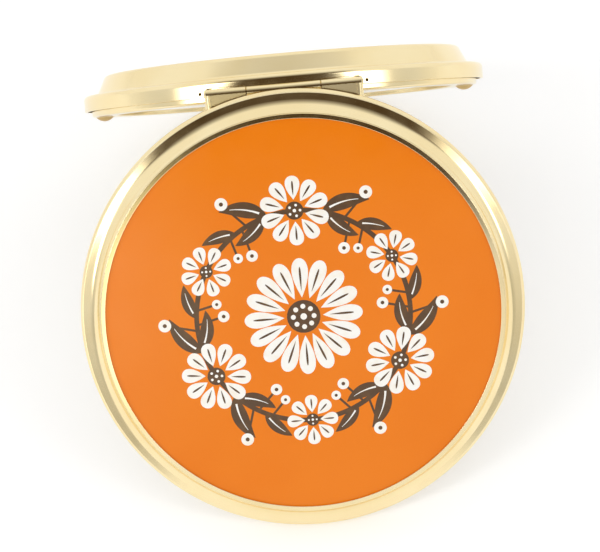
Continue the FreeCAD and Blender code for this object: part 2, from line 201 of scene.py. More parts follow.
class NodeBoard:
    """A node tree, with short calls for the nodes that finishes, lamps and the sky share."""

    def __init__(self, tree: bpy.types.NodeTree) -> None:
        """Take a tree.

        Args:
            tree: The tree that nodes are added to.
        """
        self.tree = tree

    def put(self, kind: str, values: dict[str, Any], **settings: Any) -> bpy.types.Node:
        """Add a node.

        Args:
            kind: Blender's name of the node's type.
            values: A socket or a fixed value for each named input.
            **settings: The node's own settings.

        Returns:
            The new node.
        """
        node = self.tree.nodes.new(kind)
        for name, value in settings.items():
            setattr(node, name, value)
        for name, value in values.items():
            self.join(value, node.inputs[name])
        return node

    def join(self, value: Any, target: Socket) -> None:
        """Link a socket to an input, or set the input's own value.

        Args:
            value: A socket, a number or a tuple.
            target: The input.
        """
        if isinstance(value, bpy.types.NodeSocket):
            self.tree.links.new(value, target)
        else:
            target.default_value = value

    def calc(self, operation: str, first: Any, *others: Any, clamp: bool = False) -> Socket:
        """Do a sum on one value, or on several from left to right.

        Args:
            operation: Blender's name of the sum.
            first: A socket or a number.
            *others: More sockets or numbers.
            clamp: Whether each result stays between 0 and 1.

        Returns:
            The result's socket.
        """
        total = first
        for other in others or (0.0,):
            node = self.put("ShaderNodeMath", {}, operation=operation, use_clamp=clamp)
            self.join(total, node.inputs[0])
            self.join(other, node.inputs[1])
            total = node.outputs["Value"]
        return total

    def span(self, value: Socket, source: Point, result: Point = RISE) -> Socket:
        """Turn one range of values into another, cut off at its ends.

        Args:
            value: The value's socket.
            source: Both ends of the range.
            result: What both ends turn into.

        Returns:
            The result's socket.
        """
        node = self.put("ShaderNodeMapRange", {
            "Value": value, "From Min": source[0], "From Max": source[1],
            "To Min": result[0], "To Max": result[1],
        })
        return node.outputs["Result"]

    def blend(self, share: Socket, first: Any, second: Any) -> Socket:
        """Mix two colours.

        Args:
            share: How much of the second colour shows.
            first: A colour or a colour's socket.
            second: A colour or a colour's socket.

        Returns:
            The mixed colour's socket.
        """
        node = self.put("ShaderNodeMix", {}, data_type="RGBA")
        colours = [s for s in node.inputs if s.type == "RGBA"]
        self.join(share, node.inputs["Factor"])
        for value, target in zip((first, second), colours):
            self.join((*value, 1.0) if isinstance(value, tuple) else value, target)
        return next(s for s in node.outputs if s.type == "RGBA")

    def dot(self, first: Any, second: Any) -> Socket:
        """Multiply two directions.

        Args:
            first: A socket or a tuple.
            second: A socket or a tuple.

        Returns:
            The product's socket.
        """
        node = self.put("ShaderNodeVectorMath", {}, operation="DOT_PRODUCT")
        self.join(first, node.inputs[0])
        self.join(second, node.inputs[1])
        return node.outputs["Value"]


@dataclass(frozen=True)
class Grain:
    """Soft random spots.

    Attributes:
        size: Size of a spot.
        layers: How many finer layers are added.
        reach: The values between which the edge of a spot is drawn.
    """

    size: float
    layers: float = 3.0
    reach: Point = (0.3, 0.7)


class Paint(NodeBoard):
    """A material with one Principled surface, and the textures that the finishes share."""

    def __init__(self, name: str) -> None:
        """Start a material.

        Args:
            name: The material's name.
        """
        self.material = bpy.data.materials.new(name)
        self.material.use_nodes = True
        super().__init__(self.material.node_tree)
        self.surface = self.tree.nodes["Principled BSDF"]
        self.place = self.put("ShaderNodeTexCoord", {}).outputs["Object"]

    def dress(self, **inputs: Any) -> Material:
        """Set the surface's inputs and give the material.

        Args:
            **inputs: Values for the surface's inputs, with _ for each blank in a name.

        Returns:
            The finished material.
        """
        for name, value in inputs.items():
            self.join(value, self.surface.inputs[name.replace("_", " ")])
        return self.material

    def noise(self, grain: Grain, place: Optional[Socket] = None) -> Socket:
        """Draw random spots without clear edges.

        Args:
            grain: The kind of spots.
            place: Coordinates, or None for the object's own.

        Returns:
            A value about 0.5, between 0 and 1.
        """
        node = self.put("ShaderNodeTexNoise", {
            "Vector": place or self.place, "Scale": 1.0 / grain.size, "Detail": grain.layers,
        })
        return node.outputs["Fac"]

    def spots(self, grain: Grain, result: Point = RISE) -> Socket:
        """Draw random spots.

        Args:
            grain: The kind of spots.
            result: The values outside and inside a spot.

        Returns:
            The value's socket.
        """
        return self.span(self.noise(grain), grain.reach, result)

    def drawn_out(self, scale: Triple) -> Socket:
        """Give coordinates in which spots are drawn out along an axis.

        Args:
            scale: How much each axis counts.

        Returns:
            The coordinates' socket.
        """
        node = self.put("ShaderNodeMapping", {"Vector": self.place, "Scale": scale})
        return node.outputs["Vector"]

    def bump(self, height: Socket, depth: float, below: Optional[Socket] = None) -> Socket:
        """Turn a height into a normal.

        Args:
            height: The height's socket, from 0 to 1.
            depth: Real height of 1.
            below: A normal that this one is added to.

        Returns:
            The normal's socket.
        """
        values = {"Height": height, "Distance": depth, "Strength": 1.0}
        if below:
            values["Normal"] = below
        return self.put("ShaderNodeBump", values).outputs["Normal"]

    def edges(self, width: float, samples: int = 6) -> Socket:
        """Find the outer and inner edges of a piece.

        Args:
            width: How far from the edge the mark reaches.
            samples: How many places about a point are looked at.

        Returns:
            A value that is 0 on open faces and rises towards edges.
        """
        soft = self.put("ShaderNodeBevel", {"Radius": width}, samples=samples).outputs["Normal"]
        plain = self.put("ShaderNodeNewGeometry", {}).outputs["Normal"]
        return self.calc("SUBTRACT", 1.0, self.dot(soft, plain), clamp=True)

    def lathe_lines(self, half: HalfFrame, size: float, layers: float = 2.0) -> Socket:
        """Fine rings about a half's axis, as turning and polishing leave them.

        Args:
            half: Axes of the half that the piece belongs to.
            size: Width of a ring.
            layers: How many finer layers are added.

        Returns:
            A value between 0 and 1.
        """
        turn = Matrix.Rotation(-half.tilt(), 3, "X")
        shift = -(turn @ half.origin)
        local = self.put("ShaderNodeMapping", {
            "Vector": self.place, "Rotation": (-half.tilt(), 0.0, 0.0), "Location": tuple(shift),
        })
        parts = self.put("ShaderNodeSeparateXYZ", {"Vector": local.outputs["Vector"]}).outputs
        across = self.calc("MULTIPLY", parts["X"], parts["X"])
        along = self.calc("MULTIPLY", parts["Y"], parts["Y"])
        radius = self.calc("SQRT", self.calc("ADD", across, along))
        reach = self.calc("ADD", radius, parts["Z"])
        lines = self.put("ShaderNodeTexNoise", {
            "W": self.calc("DIVIDE", reach, size), "Scale": 1.0, "Detail": layers,
        }, noise_dimensions="1D")
        return lines.outputs["Fac"]


@dataclass(frozen=True)
class GiltFinish:
    """Polished pale gilding with turning marks, smudges and rubbed edges.

    Attributes:
        name: The material's name.
        half: Axes of the half that it is on, for the turning marks.
        pale: Its pale tone.
        deep: Its deeper tone, in clouds.
        rubbed: Its tone at rubbed edges.
        sheen: Roughness of its brightest and its dullest places.
        cloud: The clouds of tone.
        scuff: Scuffs that break up the rubbed edges.
        scuff_share: How much is rubbed off outside and inside a scuff.
        edge: Width of the rubbed edges.
        smudge: Smudges in the polish.
        ring: Width of a turning mark.
        ring_depth: Depth of a turning mark.
        ring_share: How much the turning marks count in the polish. The smudges are the rest.
        polish_reach: The values between which the polish goes from bright to dull.
        dent: Slight waves of the sheet.
        dent_depth: Their depth.
    """

    name: str
    half: HalfFrame
    pale: Colour = (0.93, 0.785, 0.475)
    deep: Colour = (0.90, 0.735, 0.41)
    rubbed: Colour = (0.95, 0.85, 0.60)
    sheen: Point = (0.11, 0.20)
    cloud: Grain = Grain(0.011, reach=(0.35, 0.65))
    scuff: Grain = Grain(0.0035, 6.0, (0.40, 0.62))
    scuff_share: Point = (0.3, 1.0)
    edge: float = 0.00022
    smudge: Grain = Grain(0.0035, 8.0)
    ring: float = 0.00012
    ring_depth: float = 0.0000006
    ring_share: float = 0.3
    polish_reach: Point = (0.32, 0.68)
    dent: Grain = Grain(0.0045, 2.0)
    dent_depth: float = 0.000003

    def material(self) -> Material:
        """Make the gilding.

        Returns:
            The material.
        """
        paint = Paint(self.name)
        tone = paint.blend(paint.spots(self.cloud), self.pale, self.deep)
        scuffs = paint.spots(self.scuff, self.scuff_share)
        wear = paint.calc("MULTIPLY", paint.edges(self.edge), scuffs, clamp=True)
        tone = paint.blend(wear, tone, self.rubbed)
        rings = paint.lathe_lines(self.half, self.ring)
        smudges = paint.calc("MULTIPLY", paint.noise(self.smudge), 1.0 - self.ring_share)
        polish = paint.calc("ADD", paint.calc("MULTIPLY", rings, self.ring_share), smudges)
        gloss = paint.span(polish, self.polish_reach, self.sheen)
        waves = paint.bump(paint.noise(self.dent), self.dent_depth)
        normal = paint.bump(rings, self.ring_depth, waves)
        return paint.dress(Base_Color=tone, Roughness=gloss, Normal=normal, Metallic=1.0)


@dataclass(frozen=True)
class EnamelFinish:
    """Hard glossy enamel with a slight orange-peel surface and faint clouds of tone.

    Attributes:
        name: The material's name.
        main: Its main tone.
        warm: Its lighter tone, in clouds and grains.
        cloud: The clouds of tone.
        grain: The fine grains of tone.
        grain_share: How much a grain counts, outside and inside it.
        haze: Hazy places in the gloss.
        peel: The peel's bumps.
        peel_depth: Their depth.
        gloss: Roughness outside and inside the haze.
        ior: Strength of its reflections, as an index of refraction.
    """

    name: str
    main: Colour = (0.850, 0.200, 0.002)
    warm: Colour = (0.870, 0.218, 0.005)
    cloud: Grain = Grain(0.013)
    grain: Grain = Grain(0.00028, 2.0)
    grain_share: Point = (0.0, 0.35)
    haze: Grain = Grain(0.013 / 3, 6.0)
    peel: Grain = Grain(0.0016, 2.0)
    peel_depth: float = 0.000004
    gloss: Point = (0.08, 0.17)
    ior: float = 1.36

    def material(self) -> Material:
        """Make the enamel.

        Returns:
            The material.
        """
        paint = Paint(self.name)
        grains = paint.spots(self.grain, self.grain_share)
        share = paint.calc("ADD", paint.spots(self.cloud), grains, clamp=True)
        tone = paint.blend(share, self.main, self.warm)
        gloss = paint.spots(self.haze, self.gloss)
        normal = paint.bump(paint.noise(self.peel), self.peel_depth)
        return paint.dress(Base_Color=tone, Roughness=gloss, Normal=normal, IOR=self.ior)


@dataclass(frozen=True)
class InkFinish:
    """Screen-printed ink under the enamel's gloss, a little uneven in its cover.

    Attributes:
        name: The material's name.
        full: Its tone where it covers well.
        thin: Its tone where it is thin.
        cover: The thin places.
        speck: Fine specks in the gloss.
        gloss: Roughness outside and inside a speck.
        tooth_depth: Depth of the specks.
        ior: Strength of its reflections, as an index of refraction.
    """

    name: str
    full: Colour
    thin: Colour
    cover: Grain = Grain(0.0016, 6.0, (0.45, 0.75))
    speck: Grain = Grain(0.00022, 2.0)
    gloss: Point = (0.12, 0.26)
    tooth_depth: float = 0.0000025
    ior: float = 1.48

    def material(self) -> Material:
        """Make the ink.

        Returns:
            The material.
        """
        paint = Paint(self.name)
        tone = paint.blend(paint.spots(self.cover), self.full, self.thin)
        specks = paint.noise(self.speck)
        gloss = paint.span(specks, self.speck.reach, self.gloss)
        normal = paint.bump(specks, self.tooth_depth)
        return paint.dress(Base_Color=tone, Roughness=gloss, Normal=normal, IOR=self.ior)


@dataclass(frozen=True)
class MirrorFinish:
    """Silvered glass with faint wiping marks and dust.

    Attributes:
        name: The material's name.
        silver: Its clear tone.
        tint: Its tone in wiping marks.
        wipe: The wiping marks.
        haze_reach: The values between which a wiping mark dulls the gloss.
        dust: The dust.
        dust_share: How much dust dulls the gloss, outside and inside a grain of it.
        gloss: Roughness outside and inside a wiping mark.
    """

    name: str
    silver: Colour = (0.91, 0.885, 0.84)
    tint: Colour = (0.87, 0.85, 0.80)
    wipe: Grain = Grain(0.009, 7.0, (0.35, 0.70))
    haze_reach: Point = (0.40, 0.75)
    dust: Grain = Grain(0.0005, 1.0, (0.72, 0.78))
    dust_share: Point = (0.0, 0.25)
    gloss: Point = (0.015, 0.06)

    def material(self) -> Material:
        """Make the mirror.

        Returns:
            The material.
        """
        paint = Paint(self.name)
        wipes = paint.noise(self.wipe)
        tone = paint.blend(paint.span(wipes, self.wipe.reach), self.silver, self.tint)
        haze = paint.span(wipes, self.haze_reach, self.gloss)
        gloss = paint.calc("ADD", haze, paint.spots(self.dust, self.dust_share), clamp=True)
        return paint.dress(Base_Color=tone, Roughness=gloss, Metallic=1.0)


@dataclass(frozen=True)
class PlainMetalFinish:
    """Unplated metal of the inner pieces, with rolling marks and dull spots.

    Attributes:
        name: The material's name.
        bright: Its bright tone, also at rubbed edges.
        dull: Its tone in dull spots.
        spot: The dull spots.
        rolling: The rolling marks.
        rolling_scale: How much each axis counts in them.
        rolling_depth: Their depth.
        gloss: Roughness outside and inside a rolling mark.
        edge: Width of the rubbed edges.
    """

    name: str
    bright: Colour
    dull: Colour
    spot: Grain = Grain(0.0022, 5.0, (0.38, 0.66))
    rolling: Grain = Grain(0.00015)
    rolling_scale: Triple = (0.08, 1.0, 1.0)
    rolling_depth: float = 0.000002
    gloss: Point = (0.26, 0.46)
    edge: float = 0.00012

    def material(self) -> Material:
        """Make the metal.

        Returns:
            The material.
        """
        paint = Paint(self.name)
        tone = paint.blend(paint.spots(self.spot), self.bright, self.dull)
        tone = paint.blend(paint.edges(self.edge), tone, self.bright)
        rolled = paint.noise(self.rolling, paint.drawn_out(self.rolling_scale))
        gloss = paint.span(rolled, self.rolling.reach, self.gloss)
        normal = paint.bump(rolled, self.rolling_depth)
        return paint.dress(Base_Color=tone, Roughness=gloss, Normal=normal, Metallic=1.0)


@dataclass(frozen=True)
class FibreFinish:
    """Pressed fibres: the packing card and the packing felt.

    Attributes:
        name: The material's name.
        light: Its light tone.
        dark: Its dark tone.
        fibre: Width of a fibre.
        fibre_depth: Depth of a fibre.
        nap: How much its nap shines.
        fibre_layers: How many finer layers of fibres there are.
        fibre_scale: How much each axis counts in a fibre.
        patch_width: Size of a patch of tone, in fibres.
        tone_reach: The sums of fibre and patch between which the tone changes.
        rough: Roughness outside and inside a fibre.
    """

    name: str
    light: Colour
    dark: Colour
    fibre: float
    fibre_depth: float
    nap: float
    fibre_layers: float = 6.0
    fibre_scale: Triple = (0.25, 1.0, 1.0)
    patch_width: float = 9.0
    tone_reach: Point = (0.75, 1.3)
    rough: Point = (0.86, 0.98)

    def material(self) -> Material:
        """Make the fibre.

        Returns:
            The material.
        """
        paint = Paint(self.name)
        strand = Grain(self.fibre, self.fibre_layers)
        fibres = paint.noise(strand, paint.drawn_out(self.fibre_scale))
        patches = paint.noise(Grain(self.fibre * self.patch_width))
        share = paint.span(paint.calc("ADD", fibres, patches), self.tone_reach)
        tone = paint.blend(share, self.light, self.dark)
        rough = paint.span(fibres, strand.reach, self.rough)
        normal = paint.bump(fibres, self.fibre_depth)
        return paint.dress(Base_Color=tone, Roughness=rough, Normal=normal, Sheen_Weight=self.nap)


@dataclass
class FinishSet:
    """Every finish of the part, made once for each half that needs its own.

    Attributes:
        lid: Axes of the lid.
        base: Axes of the base.
    """

    lid: HalfFrame
    base: HalfFrame

    def by_slot(self, half: HalfFrame, half_name: str, slots: set[Slot]) -> Finishes:
        """Make the materials of one half.

        Args:
            half: Axes of the half.
            half_name: Word that the half's materials carry in their names.
            slots: The slots that the half has.

        Returns:
            The material for each of these slots.
        """
        finishes = {
            Slot.GILT: GiltFinish(f"{half_name}_gilding", half),
            Slot.BRASS: PlainMetalFinish(
                f"{half_name}_pressed_brass", bright=(0.78, 0.58, 0.28), dull=(0.52, 0.35, 0.15)),
            Slot.ENAMEL: EnamelFinish(f"{half_name}_orange_enamel"),
            Slot.CARD: FibreFinish(
                f"{half_name}_packing_card", light=(0.62, 0.52, 0.38), dark=(0.46, 0.37, 0.26),
                fibre=0.0004, fibre_depth=0.00003, nap=0.0),
            Slot.FELT: FibreFinish(
                f"{half_name}_packing_felt", light=(0.20, 0.14, 0.10), dark=(0.10, 0.07, 0.05),
                fibre=0.0003, fibre_depth=0.00008, nap=0.4),
            Slot.GLASS: MirrorFinish(f"{half_name}_silvering"),
            Slot.STEEL: PlainMetalFinish(
                f"{half_name}_drawn_steel", bright=(0.66, 0.65, 0.63), dull=(0.44, 0.43, 0.42)),
        }
        return {slot: finish.material() for slot, finish in finishes.items() if slot in slots}

    def by_node(self) -> dict[str, Material]:
        """Make the materials of the solids that differ from the rest of their slot.

        Returns:
            The material for each such solid.
        """
        finishes = {
            "lid_hinge_leaf": GiltFinish("lid_satin_gilding", self.lid, sheen=(0.19, 0.27)),
            "base_hinge_leaf": GiltFinish("base_satin_gilding", self.base, sheen=(0.14, 0.20)),
            "rest_pips": GiltFinish("worn_pip_gilding", self.base,
                                    pale=(0.70, 0.51, 0.23), deep=(0.50, 0.33, 0.13)),
            "hinge_pin": GiltFinish("worn_pin_steel", self.base,
                                    pale=(0.30, 0.19, 0.08), deep=(0.18, 0.11, 0.04)),
        }
        return {node: finish.material() for node, finish in finishes.items()}


def polar(centre: Point, radius: float, angle: float) -> Point:
    """Point at a distance and an angle from a centre.

    Args:
        centre: The centre.
        radius: The distance.
        angle: The angle in radians, from the right, against the clock.

    Returns:
        The point.
    """
    return centre[0] + radius * math.cos(angle), centre[1] + radius * math.sin(angle)


def disc(centre: Point, radius: float, corners: int = 24) -> list[Point]:
    """Outline of a round dot.

    Args:
        centre: Its middle.
        radius: Its radius.
        corners: Number of corners.

    Returns:
        The corners in order.
    """
    return [polar(centre, radius, 2 * math.pi * index / corners) for index in range(corners)]


@dataclass(frozen=True)
class Corner:
    """A corner of a section.

    Attributes:
        reach: Distance from the half's axis, or across it.
        height: Distance from the parting plane, outwards.
        round: Radius of the arc that takes the corner's place.
    """

    reach: float
    height: float
    round: float = 0.0


def arc_at(before: Corner, corner: Corner, after: Corner) -> list[Point]:
    """Points of the arc that rounds a corner, or the corner itself.

    Args:
        before: The corner ahead of it.
        corner: The corner.
        after: The corner behind it.

    Returns:
        The points in order.
    """
    place = Vector((corner.reach, corner.height))
    if not corner.round:
        return [tuple(place)]
    back = (Vector((before.reach, before.height)) - place).normalized()
    ahead = (Vector((after.reach, after.height)) - place).normalized()
    half_angle = back.angle(ahead) / 2
    centre = place + (back + ahead).normalized() * (corner.round / math.sin(half_angle))
    start = place + back * (corner.round / math.tan(half_angle)) - centre
    end = place + ahead * (corner.round / math.tan(half_angle)) - centre
    swing = math.pi - 2 * half_angle
    steps = math.ceil(swing / ARC_STEP)
    points = []
    for index in range(steps + 1):
        share = index / steps
        spoke = start * math.sin((1 - share) * swing) + end * math.sin(share * swing)
        points.append(tuple(centre + spoke / math.sin(swing)))
    return points


def rounded_path(corners: list[Corner], closed: bool) -> list[Point]:
    """Walk along a section, with arcs at its round corners and a guard point beside each corner.

    Args:
        corners: The corners in order.
        closed: Whether the last corner is joined to the first.

    Returns:
        The points in order.
    """
    count = len(corners)
    arcs = [arc_at(corners[index - 1], corner, corners[(index + 1) % count])
            for index, corner in enumerate(corners)]
    path = []
    for index, arc in enumerate(arcs):
        path += arc
        if index == count - 1 and not closed:
            break
        start, end = Vector(arc[-1]), Vector(arcs[(index + 1) % count][0])
        if (end - start).length > GUARDED_SIDE:
            inset = (end - start).normalized() * GUARD
            path += [tuple(start + inset), tuple(end - inset)]
    return path


def crown_path(reach: float, edge: float, middle: float, steps: int = 24) -> list[Point]:
    """Shallow curve from the axis to a round edge.

    Args:
        reach: Radius of the edge.
        edge: Height of the edge.
        middle: Height on the axis.
        steps: Number of stretches.

    Returns:
        The points, without the edge itself.
    """
    shares = [index / steps for index in range(steps)]
    return [(reach * share, middle + (edge - middle) * share * share) for share in shares]


def box_outline(across: Point, heights: Point, corner_round: float = 0.0) -> list[Point]:
    """Outline of a block.

    Args:
        across: Its left and its right side.
        heights: Its lower and its upper side.
        corner_round: Radius of its corners.

    Returns:
        The points in order.
    """
    (low, high), (bottom, top) = across, heights
    places = ((low, bottom), (high, bottom), (high, top), (low, top))
    return rounded_path([Corner(*place, corner_round) for place in places], True)


def new_piece(name: str, mesh: bmesh.types.BMesh, smooth: bool = True) -> Piece:
    """Make an object from a mesh that is then dropped.

    Args:
        name: The object's name.
        mesh: The mesh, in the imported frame.
        smooth: Whether it is smooth but for its sharp edges.

    Returns:
        The object.
    """
    bmesh.ops.recalc_face_normals(mesh, faces=mesh.faces)
    data = bpy.data.meshes.new(name)
    mesh.to_mesh(data)
    mesh.free()
    if smooth:
        data.shade_smooth()
        data.set_sharp_from_angle(angle=SHARP)
    piece = bpy.data.objects.new(name, data)
    bpy.context.scene.collection.objects.link(piece)
    return piece


def lathe(name: str, corners: list[Corner], half: HalfFrame, closed: bool = False,
          crown: Sequence[Point] = (), wave: float = 0.0) -> Piece:
    """Turn a section about a half's axis.

    Args:
        name: The object's name.
        corners: The section's corners.
        half: Axes of the half.
        closed: Whether the last corner is joined to the first. Else the section ends on the axis.
        crown: (radius, height) points of a curve ahead of the corners.
        wave: How far a soft piece's edge wavers.

    Returns:
        The turned piece.
    """
    mesh = bmesh.new()
    rings = []
    for radius, height in [*crown, *rounded_path(corners, closed)]:
        ring = []
        for step in range(RING_STEPS if radius else 1):
            angle = 2 * math.pi * step / RING_STEPS
            swell = sum(math.sin(count * angle) for count in WAVES) - len(WAVES)
            place = polar(MIDDLE, radius + wave * swell if radius else radius, angle)
            ring.append(mesh.verts.new(half.point(*place, height)))
        rings.append(ring)
    for low, high in zip(rings, rings[1:] + rings[:1] if closed else rings[1:]):
        for step in range(RING_STEPS):
            following = (step + 1) % RING_STEPS
            face = [low[step], low[following]] if len(low) > 1 else low[:]
            face += [high[following], high[step]] if len(high) > 1 else high
            mesh.faces.new(face)
    return new_piece(name, mesh)


def sweep(name: str, rings: list[list[Vector]]) -> Piece:
    """Make a closed bar from its sections in order.

    Args:
        name: The bar's name.
        rings: Each section's points, in the same order.

    Returns:
        The bar.
    """
    mesh = bmesh.new()
    loops = [[mesh.verts.new(point) for point in ring] for ring in rings]
    mesh.faces.new(loops[0])
    mesh.faces.new(loops[-1])
    for near, far in zip(loops, loops[1:]):
        for index in range(len(near)):
            following = (index + 1) % len(near)
            mesh.faces.new((near[index], near[following], far[following], far[index]))
    return new_piece(name, mesh)


def prism(name: str, outline: list[Point], half: HalfFrame, ends: Point) -> Piece:
    """Make a straight cutter that runs along a half.

    Args:
        name: The cutter's name.
        outline: (across, height) points of its section.
        half: Axes of the half.
        ends: Where it begins and ends along the half.

    Returns:
        The cutter.
    """
    return sweep(name, [[half.point(across, along, height) for across, height in outline]
                        for along in ends])


def cut(piece: Piece, cutters: list[Piece]) -> None:
    """Cut shapes out of a piece, and drop them.

    Args:
        piece: The piece.
        cutters: The shapes.
    """
    for cutter in cutters:
        modifier = piece.modifiers.new(cutter.name, "BOOLEAN")
        modifier.operation = "DIFFERENCE"
        modifier.solver = "EXACT"
        modifier.object = cutter
    graph = bpy.context.evaluated_depsgraph_get()
    data = bpy.data.meshes.new_from_object(piece.evaluated_get(graph))
    piece.modifiers.clear()
    piece.data = data
    data.set_sharp_from_angle(angle=SHARP)
    for cutter in cutters:
        bpy.data.objects.remove(cutter)


def stand_for(piece: Piece, node: str, body: Body, slot: Slot, finishes: Finishes) -> Piece:
    """Let a piece stand for a solid of the frame.

    Args:
        piece: The piece.
        node: The solid's name.
        body: The body that both ride on.
        slot: The material slot of both.
        finishes: The half's materials.

    Returns:
        The piece.
    """
    piece.data.materials.clear()
    piece.data.materials.append(finishes[slot])
    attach(piece, body.value)
    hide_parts(node)
    return piece


@dataclass
class InkSheet:
    """One printed layer on the domed panel: thin closed plates of one ink.

    Attributes:
        name: The piece's name.
        half: Axes of the lid.
        lift: How far the ink's face stands over the enamel.
        dome_height: Height of the panel's middle over the parting plane.
        dome_radius: Radius of the ball that the panel's face is part of.
        sink: How far the plates reach into the enamel.
        mesh: The plates so far.
    """

    name: str
    half: HalfFrame
    lift: float
    dome_height: float
    dome_radius: float
    sink: float = 0.00003
    mesh: bmesh.types.BMesh = field(default_factory=bmesh.new)

    def vertex(self, point: Point, lift: float) -> bmesh.types.BMVert:
        """Add a corner over the enamel.

        Args:
            point: Place on the panel, from its middle.
            lift: Height over the enamel.

        Returns:
            The new corner.
        """
        drop = (point[0] ** 2 + point[1] ** 2) / (2 * self.dome_radius)
        return self.mesh.verts.new(self.half.point(*point, self.dome_height + lift - drop))

    def plate(self, outline: list[Point]) -> None:
        """Lay a plate with one flat face.

        Args:
            outline: Its corners in order, either way round.
        """
        area = sum(a[0] * b[1] - b[0] * a[1] for a, b in zip(outline, outline[1:] + outline[:1]))
        corners = outline if area > 0 else outline[::-1]
        face = [self.vertex(point, self.lift) for point in corners]
        back = [self.vertex(point, -self.sink) for point in corners]
        self.mesh.faces.new(face)
        self.mesh.faces.new(back[::-1])
        for index in range(len(corners)):
            following = (index + 1) % len(corners)
            self.mesh.faces.new((face[index], back[index], back[following], face[following]))

    def band(self, path: list[Point], widths: list[float]) -> None:
        """Lay a strip along a path, a row of small flat plates in one piece.

        Args:
            path: Points of the middle line.
            widths: Full width at each point.
        """
        rows = []
        for index, (point, width) in enumerate(zip(path, widths)):
            before = path[max(index - 1, 0)]
            after = path[min(index + 1, len(path) - 1)]
            angle = math.atan2(after[1] - before[1], after[0] - before[0])
            edge = [polar(point, width / 2, angle - math.pi / 2),
                    polar(point, width / 2, angle + math.pi / 2)]
            rows.append([self.vertex(p, h) for h in (self.lift, -self.sink) for p in edge])
        for low, high in zip(rows, rows[1:]):
            for a, b in ((0, 1), (1, 3), (3, 2), (2, 0)):
                self.mesh.faces.new((low[a], high[a], high[b], low[b]))
        self.mesh.faces.new([rows[0][i] for i in (0, 1, 3, 2)])
        self.mesh.faces.new([rows[-1][i] for i in (2, 3, 1, 0)])

    def finish(self, material: Material) -> Piece:
        """Make the layer's object, riding on the lid.

        Args:
            material: The ink.

        Returns:
            The object.
        """
        piece = new_piece(self.name, self.mesh, smooth=False)
        piece.data.materials.append(material)
        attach(piece, Body.LID.value)
        return piece


InkSheets = dict[Layer, InkSheet]


@dataclass(frozen=True)
class Daisy:
    """A round flower with many narrow petals.

    Attributes:
        petals: Number of petals.
        eye: Radius of the dark eye.
        gap: Bare enamel between the eye and the petals.
        length: Length of a petal.
        width: Width that a petal is drawn with.
        seeds: Number of pale dots on the eye, round its middle one.
        corners: Number of corners of a petal.
        foot_power: How quickly a petal widens from its foot.
        vein_start: Where a petal's vein begins, as a share of the petal's length.
        vein_length: Length of the vein, as a share of the petal's.
        vein_width: Width of the vein, as a share of the petal's.
        seed_ring: Radius of the ring of dots, as a share of the eye's.
        seed_size: Radius of a dot, as a share of the eye's.
        seed_corners: Number of corners of a dot.
        middle_seed: Radius of the middle dot, as a share of another dot's.
    """

    petals: int
    eye: float
    gap: float
    length: float
    width: float
    seeds: int
    corners: int = 28
    foot_power: float = 0.55
    vein_start: float = 0.16
    vein_length: float = 0.62
    vein_width: float = 0.13
    seed_ring: float = 0.62
    seed_size: float = 0.15
    seed_corners: int = 16
    middle_seed: float = 1.3

    def petal(self, centre: Point, angle: float, start: float, length: float,
              width: float) -> list[Point]:
        """Outline of a drop that is narrow at its foot and round at its tip.

        Args:
            centre: The flower's middle.
            angle: Direction from the middle.
            start: Distance of the foot from the middle.
            length: Length of the drop.
            width: Width that the drop is drawn with.

        Returns:
            The corners in order.
        """
        outline = []
        for index in range(self.corners):
            turn = 2 * math.pi * index / self.corners
            along = (1 - math.cos(turn)) / 2
            half = width / 2 * math.sin(turn) * along ** self.foot_power
            middle = polar(centre, start + along * length, angle)
            outline.append(polar(middle, half, angle + math.pi / 2))
        return outline

    def print_on(self, sheets: InkSheets, centre: Point, turn: float) -> None:
        """Print petals, veins, eye and seeds.

        Args:
            sheets: The printed layers.
            centre: The flower's middle on the panel.
            turn: Direction of its first petal.
        """
        start = self.eye + self.gap
        for index in range(self.petals):
            angle = turn + 2 * math.pi * index / self.petals
            sheets[Layer.PETALS].plate(self.petal(centre, angle, start, self.length, self.width))
            sheets[Layer.VEINS].plate(self.petal(
                centre, angle, start + self.length * self.vein_start,
                self.length * self.vein_length, self.width * self.vein_width))
        sheets[Layer.VEINS].plate(disc(centre, self.eye))
        seed = self.eye * self.seed_size
        sheets[Layer.SEEDS].plate(disc(centre, seed * self.middle_seed))
        for index in range(self.seeds):
            place = polar(centre, self.eye * self.seed_ring, 2 * math.pi * index / self.seeds)
            sheets[Layer.SEEDS].plate(disc(place, seed, self.seed_corners))


